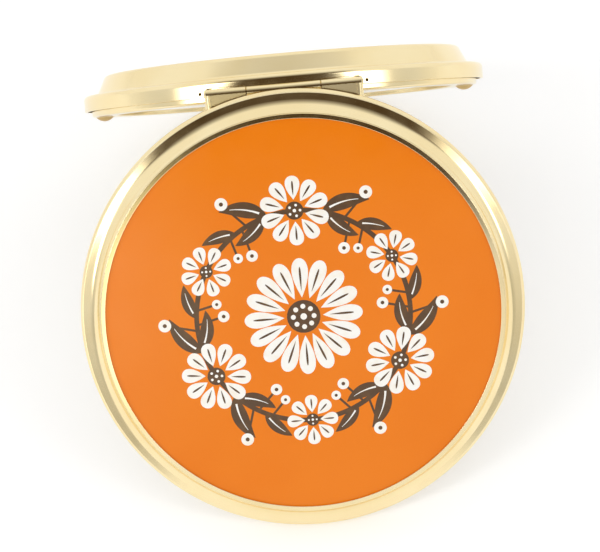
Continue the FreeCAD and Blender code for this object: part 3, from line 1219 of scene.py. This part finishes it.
@dataclass(frozen=True)
class Leaf:
    """A slim pointed leaf with a pale rib, which grows from the garland's ring.

    Attributes:
        turn: Angle along the ring from the flower that it belongs to, in degrees.
        lean: Angle from the ring's direction, in degrees, outwards where positive.
        length: Length along its middle line.
        width: Greatest width.
        bend: How far its direction turns by the tip, in degrees, outwards where positive.
        steps: Number of stretches along it.
        tip: Width of both tips, as a share of the greatest.
        belly_power: Places the greatest width, nearer the foot where below 1.
        belly_fullness: How full the blade is, fuller where below 1.
        rib_start: Where the rib begins, as a share of the length.
        rib_end: Where it ends.
        rib_width: Its width, as a share of the blade's.
        rib_taper: How wide it begins, as a share of that. It narrows by 1 towards its end.
    """

    turn: float
    lean: float
    length: float
    width: float
    bend: float
    steps: int = 18
    tip: float = 0.025
    belly_power: float = 0.85
    belly_fullness: float = 0.9
    rib_start: float = 0.14
    rib_end: float = 0.80
    rib_width: float = 0.12
    rib_taper: float = 1.15

    def middle_line(self, ring: float, start: float, way: Turn) -> list[Point]:
        """Points of the leaf's middle line.

        Args:
            ring: Radius of the garland's ring.
            start: Angle of the flower in radians.
            way: The way round the ring.

        Returns:
            The points in order.
        """
        angle = start + way.value * math.radians(self.turn)
        heading = angle + way.value * (math.pi / 2 - math.radians(self.lean))
        points = [polar(MIDDLE, ring, angle)]
        for index in range(self.steps):
            bend = -way.value * math.radians(self.bend) * index / self.steps
            points.append(polar(points[-1], self.length / self.steps, heading + bend))
        return points

    def print_on(self, sheets: InkSheets, path: list[Point]) -> None:
        """Print the blade and its rib.

        Args:
            sheets: The printed layers.
            path: The leaf's middle line.
        """
        widths = []
        for index in range(self.steps + 1):
            belly = math.sin(math.pi * (index / self.steps) ** self.belly_power)
            widths.append(self.width * (self.tip + max(belly, 0.0) ** self.belly_fullness))
        sheets[Layer.LEAVES].band(path, widths)
        first, last = round(self.rib_start * self.steps), round(self.rib_end * self.steps)
        rib = path[first:last + 1]
        rib_width = self.width * self.rib_width
        sheets[Layer.RIBS].band(rib, [rib_width * (self.rib_taper - index / len(rib))
                                      for index in range(len(rib))])


@dataclass(frozen=True)
class Berry:
    """A pale berry on a thin stalk, which grows from the garland's ring.

    Attributes:
        turn: Angle along the ring from the flower that it belongs to, in degrees.
        shift: How much farther along the ring the berry hangs, in degrees.
        rise: Distance from the ring, outwards where positive.
        radius: The berry's radius.
        stalk: Width of its stalk.
        pit: Radius of its pit, as a share of its own.
        pit_corners: Number of corners of the pit.
    """

    turn: float
    shift: float
    rise: float
    radius: float
    stalk: float = 0.00036
    pit: float = 0.32
    pit_corners: int = 16

    def print_on(self, sheets: InkSheets, ring: float, start: float, way: Turn) -> None:
        """Print the berry, its pit and its stalk.

        Args:
            sheets: The printed layers.
            ring: Radius of the garland's ring.
            start: Angle of the flower in radians.
            way: The way round the ring.
        """
        root_angle = start + way.value * math.radians(self.turn)
        place_angle = root_angle + way.value * math.radians(self.shift)
        root = polar(MIDDLE, ring, root_angle)
        place = polar(MIDDLE, ring + self.rise, place_angle)
        sheets[Layer.STEMS].band([root, place], [self.stalk, self.stalk])
        sheets[Layer.PETALS].plate(disc(place, self.radius))
        sheets[Layer.VEINS].plate(disc(place, self.radius * self.pit, self.pit_corners))


@dataclass
class WreathPrint:
    """The lid's printed design: a daisy in the middle of a round garland.

    Attributes:
        half: Axes of the lid.
        dome_height: Height of the panel's middle over the parting plane.
        dome_radius: Radius of the ball that the panel's face is part of.
        middle: The daisy in the middle.
        large: The garland's large daisy.
        small: The garland's small daisy, opposite.
        repeats: How often the garland repeats.
        ring: Radius of the garland's ring.
        stem: Width of its stem.
        stem_steps: Number of stretches of the stem.
        leaves: The leaves on either side of a large daisy.
        berries: The berries there.
        lifts: How far each layer's face stands over the enamel.
        white: The white ink.
        brown: The brown ink.
        dark: The layers in brown.
    """

    half: HalfFrame
    dome_height: float
    dome_radius: float
    middle: Daisy = Daisy(
        petals=16, eye=0.0026, gap=0.0004, length=0.0062, width=0.0034, seeds=8)
    large: Daisy = Daisy(
        petals=10, eye=0.0014, gap=0.0003, length=0.0037, width=0.0030, seeds=5)
    small: Daisy = Daisy(
        petals=8, eye=0.0010, gap=0.0002, length=0.0028, width=0.0026, seeds=4)
    repeats: int = 3
    ring: float = 0.0166
    stem: float = 0.00075
    stem_steps: int = 120
    leaves: tuple[Leaf, ...] = (
        Leaf(turn=15.0, lean=46.0, length=0.0076, width=0.0024, bend=-44.0),
        Leaf(turn=17.0, lean=-42.0, length=0.0062, width=0.0021, bend=40.0),
        Leaf(turn=34.0, lean=34.0, length=0.0056, width=0.0019, bend=-30.0),
    )
    berries: tuple[Berry, ...] = (
        Berry(turn=27.0, shift=4.0, rise=0.0050, radius=0.00100),
        Berry(turn=30.0, shift=5.0, rise=-0.0042, radius=0.00090),
        Berry(turn=38.0, shift=5.0, rise=-0.0030, radius=0.00075),
    )
    lifts: dict[Layer, float] = field(default_factory=lambda: {
        Layer.STEMS: 0.000012, Layer.LEAVES: 0.000016, Layer.RIBS: 0.000026,
        Layer.PETALS: 0.000022, Layer.VEINS: 0.000034, Layer.SEEDS: 0.000044,
    })
    white: InkFinish = InkFinish("white_print", full=(0.97, 0.95, 0.90), thin=(0.95, 0.87, 0.74))
    brown: InkFinish = InkFinish(
        "brown_print", full=(0.096, 0.046, 0.016), thin=(0.140, 0.066, 0.020))
    dark: tuple[Layer, ...] = (Layer.STEMS, Layer.LEAVES, Layer.VEINS)

    def build(self) -> list[Piece]:
        """Print every layer.

        Returns:
            The layers' objects.
        """
        sheets = {layer: InkSheet(f"print_{layer.value}", self.half, self.lifts[layer],
                                  self.dome_height, self.dome_radius) for layer in Layer}
        turns = [2 * math.pi * index / self.stem_steps for index in range(self.stem_steps + 1)]
        sheets[Layer.STEMS].band([polar(MIDDLE, self.ring, turn) for turn in turns],
                                 [self.stem] * len(turns))
        self.middle.print_on(sheets, MIDDLE, math.pi / 2)
        for index in range(self.repeats):
            self.print_repeat(sheets, math.pi / 2 + 2 * math.pi * index / self.repeats)
        white, brown = self.white.material(), self.brown.material()
        return [sheet.finish(brown if layer in self.dark else white)
                for layer, sheet in sheets.items()]

    def print_repeat(self, sheets: InkSheets, start: float) -> None:
        """Print one repeat of the garland.

        Args:
            sheets: The printed layers.
            start: Angle of its large daisy in radians.
        """
        self.large.print_on(sheets, polar(MIDDLE, self.ring, start), start)
        opposite = start + math.pi / self.repeats
        self.small.print_on(sheets, polar(MIDDLE, self.ring, opposite), opposite)
        for way in Turn:
            for leaf in self.leaves:
                leaf.print_on(sheets, leaf.middle_line(self.ring, start, way))
            for berry in self.berries:
                berry.print_on(sheets, self.ring, start, way)


@dataclass(frozen=True)
class HingeNotch:
    """The round-cornered opening that both rims leave for the hinge.

    Attributes:
        half_width: Half its width.
        below: Its lower side on the lid. On the base it is the upper one.
        above: Its upper side on the lid.
        round: Radius of its corners.
        start: Where it begins along the half.
        end: Where the cut leaves the rim.
    """

    half_width: float = 0.0125
    below: float = -0.00145
    above: float = 0.00085
    round: float = 0.0008
    start: float = 0.0305
    end: float = 0.0370

    def cutter(self, half: HalfFrame, way: Turn) -> Piece:
        """Make the cutter for one half.

        Args:
            half: Axes of the half.
            way: COUNTER for the lid, whose hinge is along it, and CLOCKWISE for the base.

        Returns:
            The cutter.
        """
        bottom, top = sorted((self.below * way.value, self.above * way.value))
        outline = box_outline((-self.half_width, self.half_width), (bottom, top), self.round)
        return prism("hinge_notch", outline, half, (self.start * way.value, self.end * way.value))


@dataclass
class CaseHalf:
    """What both halves of the case have. Radii are from the half's axis, heights outwards.

    Attributes:
        half: Axes of the half.
        notch: The opening for the hinge.
        soft: Rounding of edges that are barely blunt.
        rim: Outer radius of the rim.
        rim_inside: Inner radius of the rim.
        edge: Height of the rim's edge.
        shoulder_inside: Height of the shoulder's inner face.
        mirror: Radius of the mirror.
        mirror_view: Radius of what its frame leaves open.
        frame_round: Rounding of the frame's outer edge.
        lip_round: Rounding of the frame's inner edge.
    """

    half: HalfFrame
    notch: HingeNotch
    soft: float = 0.00006
    rim: float = 0.0350
    rim_inside: float = 0.0345
    edge: float = 0.00005
    shoulder_inside: float = 0.0023
    mirror: float = 0.0312136
    mirror_view: float = 0.0295136
    frame_round: float = 0.00035
    lip_round: float = 0.0002


@dataclass
class LidHalf(CaseHalf):
    """The enamelled lid with its hollow mirror."""

    # The pressing, from its rim up to the bead that holds the panel.
    edge_round: float = 0.00015
    rim_height: float = 0.00177
    rim_round: float = 0.0009
    rim_lip: float = 0.0344
    rim_lip_height: float = 0.00237
    shoulder: float = 0.00283
    cove_round: float = 0.0020
    ring_foot: float = 0.0328
    ring_foot_inside: float = 0.0322
    ring_waist: float = 0.03215
    waist_height: float = 0.0036
    waist_round: float = 0.0020
    ring_head: float = 0.0315
    ledge: float = 0.00475
    bead: float = 0.03145
    bead_height: float = 0.00544
    bead_round: float = 0.00012
    top: float = 0.0055
    lip: float = 0.0307
    lip_edge_round: float = 0.00005
    lip_under: float = 0.00515
    seat: float = 0.03112
    cavity: float = 0.0318
    floor_under: float = 0.00415
    # The enamelled panel.
    panel: float = 0.03107
    panel_under: float = 0.00455
    dome: float = 0.03065
    dome_rise: float = 0.00025
    # The mirror and its frame.
    mirror_face: float = 0.00225
    mirror_back: float = 0.00365
    hollow: float = 0.0004
    frame_outside: float = 0.0317136
    frame_inside: float = 0.0313136
    frame_face: float = 0.00195

    def build(self, finishes: Finishes) -> list[Piece]:
        """Turn the lid's polished pieces and print its panel.

        Args:
            finishes: The lid's materials.

        Returns:
            The new pieces.
        """
        middle = self.lip_under + self.dome_rise
        ball = self.dome ** 2 / (2 * self.dome_rise)
        return [
            stand_for(self.shell(), "lid_shell", Body.LID, Slot.GILT, finishes),
            stand_for(self.enamel(), "enamel_panel", Body.LID, Slot.ENAMEL, finishes),
            stand_for(self.glass(), "lid_mirror", Body.LID, Slot.GLASS, finishes),
            stand_for(self.glass_frame(), "lid_mirror_frame", Body.LID, Slot.GILT, finishes),
        ] + WreathPrint(self.half, middle, ball).build()

    def shell(self) -> Piece:
        """Turn the pressing and cut its hinge notch.

        Returns:
            The pressing.
        """
        piece = lathe("turned_lid_shell", [
            Corner(0.0, self.panel_under),
            Corner(self.seat, self.panel_under),
            Corner(self.seat, self.lip_under),
            Corner(self.lip, self.lip_under, self.soft),
            Corner(self.lip, self.top, self.lip_edge_round),
            Corner(self.bead, self.bead_height, self.bead_round),
            Corner(self.bead, self.ledge, self.soft),
            Corner(self.ring_head, self.ledge, self.soft),
            Corner(self.ring_waist, self.waist_height, self.waist_round),
            Corner(self.ring_foot, self.shoulder, self.cove_round),
            Corner(self.rim_lip, self.rim_lip_height, self.soft),
            Corner(self.rim, self.rim_height, self.rim_round),
            Corner(self.rim, self.edge, self.edge_round),
            Corner(self.rim_inside, self.edge, self.edge_round),
            Corner(self.rim_inside, self.shoulder_inside),
            Corner(self.ring_foot_inside, self.shoulder_inside),
            Corner(self.cavity, self.floor_under),
            Corner(0.0, self.floor_under),
        ], self.half)
        cut(piece, [self.notch.cutter(self.half, Turn.COUNTER)])
        return piece

    def enamel(self) -> Piece:
        """Turn the domed panel.

        Returns:
            The panel.
        """
        crown = crown_path(self.dome, self.lip_under, self.lip_under + self.dome_rise)
        return lathe("turned_enamel_panel", [
            Corner(self.dome, self.lip_under),
            Corner(self.panel, self.lip_under),
            Corner(self.panel, self.panel_under),
            Corner(0.0, self.panel_under),
        ], self.half, crown=crown)

    def glass(self) -> Piece:
        """Turn the magnifying mirror with its hollow face.

        Returns:
            The mirror.
        """
        crown = crown_path(self.mirror_view, self.mirror_face, self.mirror_face + self.hollow)
        return lathe("turned_lid_mirror", [
            Corner(self.mirror_view, self.mirror_face),
            Corner(self.mirror, self.mirror_face),
            Corner(self.mirror, self.mirror_back),
            Corner(0.0, self.mirror_back),
        ], self.half, crown=crown)

    def glass_frame(self) -> Piece:
        """Turn the ring that holds the magnifying mirror.

        Returns:
            The ring.
        """
        return lathe("turned_lid_mirror_frame", [
            Corner(self.frame_outside, self.frame_face, self.frame_round),
            Corner(self.frame_outside, self.floor_under),
            Corner(self.frame_inside, self.floor_under),
            Corner(self.frame_inside, self.mirror_face),
            Corner(self.mirror_view, self.mirror_face),
            Corner(self.mirror_view, self.frame_face, self.lip_round),
        ], self.half, closed=True)


@dataclass
class BaseHalf(CaseHalf):
    """The stepped base with its mirror frame, its packing felt and the catch's spring."""

    # The pressing, from its rim up to its flat back.
    shoulder: float = 0.0028
    rim_round: float = 0.0008
    cove_round: float = 0.0007
    ring_foot: float = 0.0326
    ring_foot_inside: float = 0.0321
    ring_head: float = 0.03095
    ring_head_inside: float = 0.03045
    back: float = 0.0061
    back_inside: float = 0.0056
    back_round: float = 0.0010
    # The dimples beside the hinge, the button's slot, and where all cuts leave the rim.
    dimple_place: float = 0.0131
    dimple_height: float = 0.00065
    dimple_radius: float = 0.00028
    dimple_bottom: float = -0.03216
    slot_half: float = 0.00305
    slot_low: float = 0.0010
    slot_high: float = 0.00205
    slot_round: float = 0.0001
    slot_start: float = 0.03427
    cut_end: float = 0.0370
    # The mirror's frame, with the catch's window and the tongue's notch.
    frame_outside: float = 0.0338
    frame_inside: float = 0.0334
    frame_face: float = -0.0009
    frame_under: float = -0.0005
    window_half: float = 0.0052
    window_low: float = -0.00048
    window_start: float = 0.0312136
    tongue_half: float = 0.0028
    tongue_start: float = 0.033022
    # The felt pad.
    felt_top: float = 0.0013
    felt_under: float = 0.0018
    felt_round: float = 0.00018
    felt_wave: float = 0.00004
    # The leaf spring, and how much of its bow is left when the button is in.
    spring_half: float = 0.0043
    spring_wall: float = 0.032787
    spring_bow: float = 0.00061
    spring_sheet: float = 0.00012
    spring_round: float = 0.00003
    spring_low: float = 0.0002
    spring_high: float = 0.0018
    spring_steps: int = 40
    spring_keep: float = 0.38

    def build(self, finishes: Finishes) -> list[Piece]:
        """Turn the base's polished pieces, make its felt pad and bend the catch's spring.

        Args:
            finishes: The base's materials.

        Returns:
            The new pieces.
        """
        spring = stand_for(self.spring(), "catch_spring", Body.BASE, Slot.STEEL, finishes)
        tuple(self.half.point(0.0, self.spring_wall, 0.0))
        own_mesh(spring)
        return [
            spring,
            stand_for(self.shell(), "base_shell", Body.BASE, Slot.GILT, finishes),
            stand_for(self.glass_frame(), "base_mirror_frame", Body.BASE, Slot.GILT, finishes),
            stand_for(self.felt_pad(), "base_backing_felt", Body.BASE, Slot.FELT, finishes),
        ]

    def shell(self) -> Piece:
        """Turn the pressing and cut its notch, its dimples and the button's slot.

        Returns:
            The pressing.
        """
        piece = lathe("turned_base_shell", [
            Corner(0.0, self.back),
            Corner(self.ring_head, self.back, self.back_round),
            Corner(self.ring_foot, self.shoulder, self.cove_round),
            Corner(self.rim, self.shoulder, self.rim_round),
            Corner(self.rim, self.edge, self.soft),
            Corner(self.rim_inside, self.edge, self.soft),
            Corner(self.rim_inside, self.shoulder_inside),
            Corner(self.ring_foot_inside, self.shoulder_inside),
            Corner(self.ring_head_inside, self.back_inside),
            Corner(0.0, self.back_inside),
        ], self.half)
        slot = box_outline((-self.slot_half, self.slot_half), (self.slot_low, self.slot_high),
                           self.slot_round)
        cutters = [self.notch.cutter(self.half, Turn.CLOCKWISE),
                   prism("button_slot", slot, self.half, (self.slot_start, self.cut_end))]
        for side in (-self.dimple_place, self.dimple_place):
            hole = disc((side, self.dimple_height), self.dimple_radius)
            cutters.append(prism("dimple", hole, self.half, (self.dimple_bottom, -self.cut_end)))
        cut(piece, cutters)
        return piece

    def glass_frame(self) -> Piece:
        """Turn the mirror's frame and cut the catch's window and the tongue's notch.

        Returns:
            The frame.
        """
        piece = lathe("turned_base_mirror_frame", [
            Corner(self.frame_outside, self.shoulder_inside),
            Corner(self.frame_outside, self.frame_face, self.frame_round),
            Corner(self.mirror_view, self.frame_face, self.lip_round),
            Corner(self.mirror_view, self.frame_under),
            Corner(self.frame_inside, self.frame_under),
            Corner(self.frame_inside, self.shoulder_inside),
        ], self.half, closed=True)
        window = box_outline((-self.window_half, self.window_half),
                             (self.window_low, self.shoulder))
        room = box_outline((-self.tongue_half, self.tongue_half), (-self.shoulder, self.shoulder))
        cut(piece, [prism("catch_window", window, self.half, (self.window_start, self.cut_end)),
                    prism("tongue_room", room, self.half, (self.tongue_start, self.cut_end))])
        return piece

    def felt_pad(self) -> Piece:
        """Make the soft pad that lies in the pan.

        Returns:
            The pad.
        """
        return lathe("packing_felt_pad", [
            Corner(0.0, self.felt_top),
            Corner(self.mirror, self.felt_top, self.felt_round),
            Corner(self.mirror, self.felt_under, self.felt_round),
            Corner(0.0, self.felt_under),
        ], self.half, wave=self.felt_wave)

    def spring(self) -> Piece:
        """Bend the leaf spring in its full bow; the real spring flattens as the button goes in.

        Returns:
            The spring.
        """
        section = box_outline((0.0, self.spring_sheet), (self.spring_low, self.spring_high),
                              self.spring_round)
        rings = []
        for step in range(self.spring_steps + 1):
            share = 2 * step / self.spring_steps - 1
            foot = self.spring_wall + self.spring_bow * (1 - share ** 2)
            rings.append([self.half.point(share * self.spring_half, foot + along, height)
                          for along, height in section])
        return sweep("bowed_catch_spring", rings)


@dataclass(frozen=True)
class Softbox:
    """A lamp that looks at the lid's middle, with a face that fades towards its edges.

    Attributes:
        name: The lamp's name.
        place: Where it is, from the lid's middle.
        size: Width and height of its face.
        lean: Angle that its face is turned by, in degrees.
        radiance: How bright its face is.
        tint: Colour of its light.
        fade: Share of the face that each edge fades over.
    """

    name: str
    place: Triple
    size: Point
    lean: float
    radiance: float
    tint: Colour = WHITE
    fade: float = 0.32

    def build(self, target: Vector) -> None:
        """Set up the lamp.

        Args:
            target: The lid's middle.
        """
        place = Vector(self.place)
        lean = Quaternion((0.0, 0.0, 1.0), math.radians(self.lean))
        data = bpy.data.lights.new(self.name, "AREA")
        data.shape = "RECTANGLE"
        data.size, data.size_y = self.size
        data.energy = self.radiance * math.pi * data.size * data.size_y
        data.color = self.tint
        data.use_nodes = True
        board = NodeBoard(data.node_tree)
        face = board.put("ShaderNodeNewGeometry", {}).outputs["Parametric"]
        spot = board.put("ShaderNodeSeparateXYZ", {"Vector": face}).outputs
        fades = [board.calc("MULTIPLY", board.span(spot[axis], (0.0, self.fade)),
                            board.span(spot[axis], (1.0 - self.fade, 1.0), FALL))
                 for axis in ("X", "Y")]
        emission = data.node_tree.nodes["Emission"]
        board.join(board.calc("MULTIPLY", *fades), emission.inputs["Strength"])
        lamp = bpy.data.objects.new(self.name, data)
        lamp.location = target + place
        lamp.rotation_mode = "QUATERNION"
        lamp.rotation_quaternion = (-place).to_track_quat("-Z", "Y") @ lean
        bpy.context.scene.collection.objects.link(lamp)


@dataclass
class Studio:
    """Floor, light and camera.

    Attributes:
        target: The lid's middle, which the camera is aimed by.
        normal: Direction from which the lid is seen square.
        up: Direction towards the hinge in the lid's plane.
        floor_side: Length of the floor's sides.
        floor_tone: How pale the floor is.
        floor_glow: How much lighter it shows to the camera and in metal and glass.
        floor_grain: The spots in its roughness.
        floor_rough: Roughness outside and inside a spot.
        camera_distance: Distance of the camera from the lid's middle.
        camera_lift: Angle of its direction over the lid's normal, in degrees.
        camera_roll: How far it is rolled, in degrees.
        camera_clip: The nearest distance that it shows.
        target_pixel: Where the lid's middle is in the picture.
        lens: Its focal length, in millimetres.
        sensor: Its sensor's width, in millimetres.
        sky: How bright the sky is for plain surfaces.
        shade_low: Angles over the front between which the sky's dark patch begins, in degrees.
        shade_high: Angles between which it ends, over and past the top of the sky.
        shade_side: Where it ends sideways, as shares of the sky's ball.
        shade_colour: Its colour.
        dusk_rise: Between which heights the mirrored sky brightens from the horizon.
        dusk_depth: Between which depths it brightens from the viewer's side to the far side.
        dusk_side: Between which distances from the middle it darkens.
        dusk_tone: How bright it is low at the viewer's left and right.
        softboxes: The lamps.
    """

    target: Vector
    normal: Vector
    up: Vector
    floor_side: float = 3.0
    floor_tone: float = 0.95
    floor_glow: float = 0.19
    floor_grain: Grain = Grain(0.004)
    floor_rough: Point = (0.85, 0.95)
    camera_distance: float = 0.2535
    camera_lift: float = 11.3
    camera_roll: float = 5.05
    camera_clip: float = 0.01
    target_pixel: Point = (303.1, 309.6)
    lens: float = 96.0
    sensor: float = 36.0
    sky: float = 0.79
    shade_low: Point = (34.0, 39.0)
    shade_high: Point = (70.0, 118.0)
    shade_side: Point = (0.51, 0.61)
    shade_colour: Colour = (0.062, 0.035, 0.011)
    dusk_rise: Point = (0.15, 0.60)
    dusk_depth: Point = (-0.30, 0.10)
    dusk_side: Point = (0.20, 0.50)
    dusk_tone: float = 0.58
    softboxes: tuple[Softbox, ...] = (
        Softbox("left_softbox", place=(-0.494, -0.285, 0.430), size=(0.17, 0.50), lean=-29.0,
                radiance=6.6),
        Softbox("right_softbox", place=(0.494, -0.285, 0.430), size=(0.17, 0.50), lean=29.0,
                radiance=3.5),
        Softbox("warm_softbox", place=(-0.18, -0.68, 0.455), size=(0.24, 0.36), lean=0.0,
                radiance=2.2, tint=(1.0, 0.92, 0.62), fade=0.4),
    )

    def build(self) -> None:
        """Set up the whole studio."""
        self.floor()
        self.world()
        for softbox in self.softboxes:
            softbox.build(self.target)
        self.camera()
        bpy.context.scene.view_settings.view_transform = "Standard"

    def floor(self) -> None:
        """Make the pale floor, which shows white and keeps the shadow."""
        data = bpy.data.meshes.new("floor")
        reach = self.floor_side / 2
        data.from_pydata([(-reach, -reach, 0), (reach, -reach, 0), (reach, reach, 0),
                          (-reach, reach, 0)], [], [(0, 1, 2, 3)])
        floor = bpy.data.objects.new("floor", data)
        bpy.context.scene.collection.objects.link(floor)
        paint = Paint("pale_floor")
        path = paint.put("ShaderNodeLightPath", {}).outputs
        seen = paint.calc("MAXIMUM", path["Is Camera Ray"], path["Is Glossy Ray"],
                          path["Is Transmission Ray"])
        paint.material.cycles.emission_sampling = "NONE"
        data.materials.append(paint.dress(
            Base_Color=(self.floor_tone, self.floor_tone, self.floor_tone, 1.0),
            Roughness=paint.spots(self.floor_grain, self.floor_rough),
            Specular_IOR_Level=0.0, Emission_Color=(*WHITE, 1.0),
            Emission_Strength=paint.calc("MULTIPLY", seen, self.floor_glow)))

    def world(self) -> None:
        """Make a white sky that metal mirrors with a soft dark patch where the viewer stands."""
        world = bpy.data.worlds.new("studio")
        bpy.context.scene.world = world
        world.use_nodes = True
        board = NodeBoard(world.node_tree)
        direction = board.put("ShaderNodeTexCoord", {}).outputs["Generated"]
        parts = board.put("ShaderNodeSeparateXYZ", {"Vector": direction}).outputs
        rise = board.calc("ARCTAN2", parts["Z"], board.calc("MULTIPLY", parts["Y"], -1.0))
        low = tuple(math.radians(angle) for angle in self.shade_low)
        high = tuple(math.radians(angle) for angle in self.shade_high)
        aside = board.calc("ABSOLUTE", parts["X"])
        patch = board.calc("MULTIPLY", board.span(rise, low), board.span(rise, high, FALL),
                           board.span(aside, self.shade_side, FALL))
        path = board.put("ShaderNodeLightPath", {}).outputs
        gloss = board.calc("MAXIMUM", path["Is Glossy Ray"], path["Is Transmission Ray"])
        seen = board.calc("MAXIMUM", gloss, path["Is Camera Ray"])
        colour = board.blend(board.calc("MULTIPLY", patch, gloss), WHITE, self.shade_colour)
        dusk = board.calc("MULTIPLY", board.span(parts["Z"], self.dusk_rise, FALL),
                          board.span(parts["Y"], self.dusk_depth, FALL),
                          board.span(aside, self.dusk_side))
        mirrored = board.calc("MULTIPLY", gloss, board.span(dusk, RISE, (1.0, self.dusk_tone)))
        plain = board.calc("MULTIPLY", board.calc("SUBTRACT", 1.0, seen), self.sky)
        sky = world.node_tree.nodes["Background"]
        board.join(colour, sky.inputs["Color"])
        board.join(board.calc("ADD", mirrored, plain, path["Is Camera Ray"]),
                   sky.inputs["Strength"])

    def camera(self) -> None:
        """Set the camera where the photograph was taken from."""
        data = bpy.data.cameras.new("photo_camera")
        data.sensor_fit = "HORIZONTAL"
        data.sensor_width = self.sensor
        data.lens = self.lens
        data.clip_start = self.camera_clip
        camera = bpy.data.objects.new("photo_camera", data)
        lift = math.radians(self.camera_lift)
        back = self.normal * math.cos(lift) + self.up * math.sin(lift)
        focal = self.lens / self.sensor * IMAGE_WIDTH
        spot = Vector((self.target_pixel[0] - IMAGE_WIDTH / 2,
                       IMAGE_HEIGHT / 2 - self.target_pixel[1], -focal)).normalized()
        level = (-back).to_track_quat("-Z", "Y").to_matrix()
        roll = Matrix.Rotation(-math.radians(self.camera_roll), 3, "Z")
        aside = Vector((0.0, 0.0, -1.0)).rotation_difference(spot).to_matrix()
        turn = level @ roll @ aside.inverted()
        place = Matrix.Translation(self.target + back * self.camera_distance)
        camera.matrix_world = place @ turn.to_4x4()
        bpy.context.scene.collection.objects.link(camera)
        bpy.context.scene.camera = camera


def half_frames(record: dict[str, Any]) -> tuple[HalfFrame, HalfFrame]:
    """Find the axes of both halves from the hinge and the base's back.

    Args:
        record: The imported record.

    Returns:
        The lid's and the base's axes at rest.
    """
    back = next(m for m in record["mounts"] if m["name"] == "base_back")
    hinge = next(j for j in record["behaviour"]["joints"] if j["name"] == "lid_hinge")
    base_normal = Vector(back["axis"]).normalized()
    opening = math.radians(hinge["range_deg"][1])
    lid_normal = Matrix.Rotation(-opening, 3, Vector(hinge["axis"])) @ -base_normal
    place = Vector(hinge["pos_m"])
    lid = HalfFrame.at_hinge(place, lid_normal, HINGE_REACH, -HINGE_DROP)
    base = HalfFrame.at_hinge(place, base_normal, -HINGE_REACH, HINGE_DROP)
    return lid, base


def dress_nodes(frame: dict[str, Any], finishes: FinishSet) -> dict[Body, Finishes]:
    """Give each solid of the frame its finish.

    Args:
        frame: The loaded frame.
        finishes: The part's finishes.

    Returns:
        The materials by body and slot.
    """
    bodies = frame["record"]["behaviour"]["bodies"]
    slots = {part["node"]: Slot(part["material_slot"]) for part in frame["record"]["subparts"]}
    on_lid = {slots[name] for name in bodies[Body.LID.value]}
    on_base = {slots[name] for body in (Body.BASE, Body.CATCH) for name in bodies[body.value]}
    sets = {
        Body.LID: finishes.by_slot(finishes.lid, "lid", on_lid),
        Body.BASE: finishes.by_slot(finishes.base, "base", on_base),
    }
    sets[Body.CATCH] = sets[Body.BASE]
    own = finishes.by_node()
    for body in Body:
        for name in bodies[body.value]:
            node = frame["nodes"][name]
            node.data.materials.clear()
            node.data.materials.append(own.get(name, sets[body][slots[name]]))
            LOG.info("%s: %s on %s", name, slots[name].value, body.value)
    return sets


def write_sizes() -> None:
    """Bring the scene's placements up to date.
    """
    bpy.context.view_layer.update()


def main() -> None:
    """Load the frame, dress it, and set the studio."""
    logging.basicConfig(level=logging.INFO, format="%(name)s %(message)s")
    for old in list(bpy.data.objects):
        bpy.data.objects.remove(old)
    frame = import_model()
    lid, base = half_frames(frame["record"])
    sets = dress_nodes(frame, FinishSet(lid, base))
    notch = HingeNotch()
    made = LidHalf(lid, notch).build(sets[Body.LID]) + BaseHalf(base, notch).build(sets[Body.BASE])
    for piece in made:
        LOG.info("%s: %d faces", piece.name, len(piece.data.polygons))
    Studio(lid.origin, lid.normal, lid.up).build()
    write_sizes()


if __name__ == "__main__":
    main()
